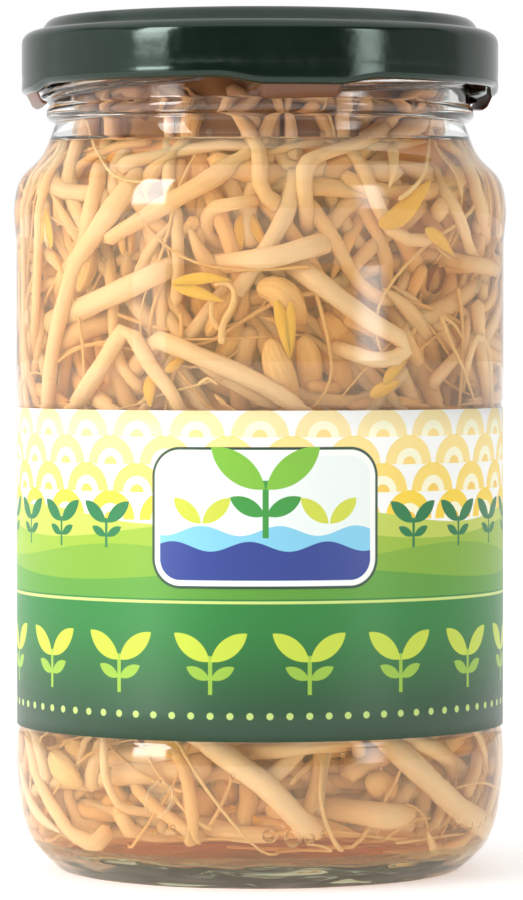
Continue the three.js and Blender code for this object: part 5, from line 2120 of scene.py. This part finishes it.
    def build(self) -> None:
        """Builds the whole bunch."""
        hulls = {
            "seed_hull_shoulder": Hull(29.3, 52, 86.5, (0.2, 0.3, 0.95), 0.8),
            "seed_hull_neck": Hull(24.3, -44, 109.0, (1.2, 0.2, -0.8), 0.75),
            "seed_hull_clear": Hull(30.9, -26, 13.0, (0.25, 0.5, -0.4), 1.0, clear=True),
        }
        for hull in hulls.values():
            kept_free = hull.in_sight()
            self.pile.add(kept_free, np.full(len(kept_free), 3.2 * hull.scale))
        for part in FRONT:
            self.lay_front(part)
        LOG.info("front parts laid, %d balls", self.pile.count)
        self.pile.pressed = 0.52
        laid = sum(self.lay_filler(index) for index in range(self.fillers))
        LOG.info("%d of %d fillers laid, %d balls", laid, self.fillers, self.pile.count)
        self.core()
        kinds = {
            STEM: ("stems", STEM_FLESH),
            ROOT: ("roots", ROOT_FLESH),
            SEED_LEAF: ("seed_leaves", SEED_FLESH),
            YOUNG_LEAF: ("young_leaves", YELLOW_LEAF),
        }
        for group, bunches in (("front", self.front), ("fill", self.fill)):
            for form, bunch in bunches.items():
                if not bunch.bm.verts:
                    bunch.bm.free()
                    continue
                kind, flesh = kinds[form]
                replaced = ["sprout_tangle"] if form is STEM and group == "fill" else []
                # The filled stems' core takes the flesh with painted shade.
                materials = [flesh.make()] + [SHADED_MIDDLE_FLESH.make()] * len(replaced)
                add_piece(f"sprout_{kind}_{group}", bunch.bm, materials, JAR_BODY, replaced)
        for arch in ARCHES:
            self.loose(arch)
        coat, clear = HullSkin("seed_hull").make(), Clear("clear_hull", 1.06, haze=0.16).make()
        for name, hull in hulls.items():
            self.hull(name, hull, clear if hull.clear else coat, [] if hull.clear else [name])
        for moulds in (self.fine, self.plain):
            for mould in moulds.values():
                bpy.data.meshes.remove(mould.mesh)


def soften(values: Array) -> Array:
    """Evens a row of numbers out without lowering its peaks much."""
    padded = np.pad(values, 2, mode="edge")
    mean = (padded[:-4] + 2 * padded[1:-3] + 3 * padded[2:-2] + 2 * padded[3:-1] + padded[4:]) / 9
    return np.maximum(mean, values - 0.15)


# ---- Studio ----


@dataclass(frozen=True)
class Panel:
    """A bright window of the room, seen only in shiny surfaces: degrees to a side, heights as shares."""

    side: int
    near: Pair
    far: Pair
    full_at: float
    top: float
    base: float
    rise: float


@dataclass
class Studio:
    """The floor, the lamps, the room and the camera."""

    camera_at: tuple[float, float, float] = (0.00022, -0.696, 0.0786)
    camera_tilt: float = -1.41
    lens: float = 188.96
    aim_up: float = 0.09
    lamp_distance: float = 1.4
    lamp_up: float = 25.0
    darkest: float = 0.05
    scattered: float = 0.38
    horizon: float = 0.04
    panels: tuple[Panel, ...] = (
        Panel(-1, (43.5, 46.0), (60.5, 63.0), 0.16, 0.55, 2.5, 12.5),
        Panel(1, (42.0, 52.0), (55.0, 64.0), 0.3, 0.38, 6.5, 1.5),
    )

    def floor(self) -> None:
        """Lays a wide pale floor."""
        bm = bmesh.new()
        bmesh.ops.create_grid(bm, x_segments=1, y_segments=1, size=6.0)
        mesh = bpy.data.meshes.new("studio_floor")
        bm.to_mesh(mesh)
        bm.free()
        nodes = Nodes("studio_floor")
        white = {"Emission_Color": (1, 1, 1, 1), "Emission_Strength": 0.25}
        shader = nodes.principled(Base_Color=(0.93, 0.93, 0.93, 1.0), Roughness=0.6, **white)
        mesh.materials.append(nodes.finish(shader))
        floor = bpy.data.objects.new("studio_floor", mesh)
        bpy.context.scene.collection.objects.link(floor)

    def lamp(self, name: str, azimuth: float, size: float, radiance: float) -> None:
        """Hangs a soft lamp in front of the jar.

        Args:
            name: The lamp's name.
            azimuth: Where it hangs, in degrees round the jar.
            size: Its side in metres.
            radiance: How bright its face is.
        """
        lamp = bpy.data.lights.new(name, "AREA")
        lamp.shape = "SQUARE"
        lamp.size = size
        lamp.energy = math.pi * size * size * radiance
        lamp.color = (1.0, 0.985, 0.96)
        piece = bpy.data.objects.new(name, lamp)
        up, aim = math.radians(self.lamp_up), Vector((0, 0, self.aim_up))
        height = self.lamp_distance * math.sin(up) / MM
        spot = aim + on_circle(self.lamp_distance * math.cos(up) / MM, azimuth, height)
        piece.location = spot
        piece.rotation_euler = (aim - spot).to_track_quat("-Z", "Y").to_euler()
        piece.visible_camera = False
        piece.visible_glossy = False
        piece.visible_transmission = False
        bpy.context.scene.collection.objects.link(piece)

    def world(self) -> None:
        """Makes the room round the jar: white to the camera, with a dark side towards the viewer."""
        nodes = RoomNodes("studio")
        x, y, z = nodes.split(nodes.add("ShaderNodeTexCoord").outputs["Generated"])
        level: object = self.darkest
        for value, low, high, top in (
            (nodes.times(x, -1.0), 0.80, 0.88, 1.0),
            (x, 0.80, 0.92, 0.45),
            (y, 0.15, 0.45, 0.8),
            (z, 0.5, 0.8, 1.25),
        ):
            level = nodes.most(nodes.ramp(value, low, high, top), level)
        path = nodes.add("ShaderNodeLightPath").outputs
        turn = nodes.math("ARCTAN2", x, nodes.times(y, -1.0))
        shiny = nodes.most(path["Is Glossy Ray"], path["Is Transmission Ray"])
        for panel in self.panels:
            azimuth = nodes.times(turn, panel.side * 180 / math.pi)
            bright = nodes.math("ADD", nodes.ramp(z, self.horizon, panel.full_at, panel.rise), panel.base)
            bright = nodes.times(bright, nodes.ramp(azimuth, *panel.near))
            for value, low, high in ((azimuth, *panel.far), (z, panel.top, panel.top + 0.08)):
                inside = nodes.minus(1.0, nodes.ramp(value, low, high))
                bright = nodes.times(bright, inside)
            level = nodes.most(level, nodes.times(bright, shiny))
        level = nodes.most(level, nodes.times(path["Is Diffuse Ray"], self.scattered))
        level = nodes.most(level, path["Is Camera Ray"])
        background = nodes.add("ShaderNodeBackground")
        background.inputs["Color"].default_value = (1.0, 1.0, 1.0, 1.0)
        nodes.link(level, background.inputs["Strength"])
        nodes.link(background.outputs[0], nodes.output.inputs["Surface"])

    def build(self) -> None:
        """Sets the studio up."""
        scene = bpy.context.scene
        self.floor()
        self.world()
        self.lamp("fill_left", -68.0, 1.3, 3.2)
        self.lamp("fill_right", 55.0, 1.3, 0.1)
        lens = bpy.data.cameras.new("camera")
        lens.lens = self.lens
        lens.sensor_width = 36.0
        lens.clip_end = 20.0
        camera = bpy.data.objects.new("camera", lens)
        camera.location = self.camera_at
        camera.rotation_euler = (math.radians(90 + self.camera_tilt), 0, 0)
        scene.collection.objects.link(camera)
        scene.camera = camera
        scene.view_settings.view_transform = "Standard"
        scene.cycles.max_bounces = 18
        scene.cycles.diffuse_bounces = 6
        scene.cycles.transmission_bounces = 12
        scene.cycles.transparent_max_bounces = 12


def main() -> None:
    """Builds every piece of the jar in order."""
    logging.basicConfig(level=logging.INFO, format="%(message)s")
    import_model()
    jar = GlassJar()
    brine = Brine()
    jar.build(brine.top)
    brine.build(jar)
    TwistOffLid().build(jar)
    SealingRing().build()
    WrapLabel().build()
    Sprouts(jar).build()
    Studio().build()


if __name__ == "__main__":
    main()
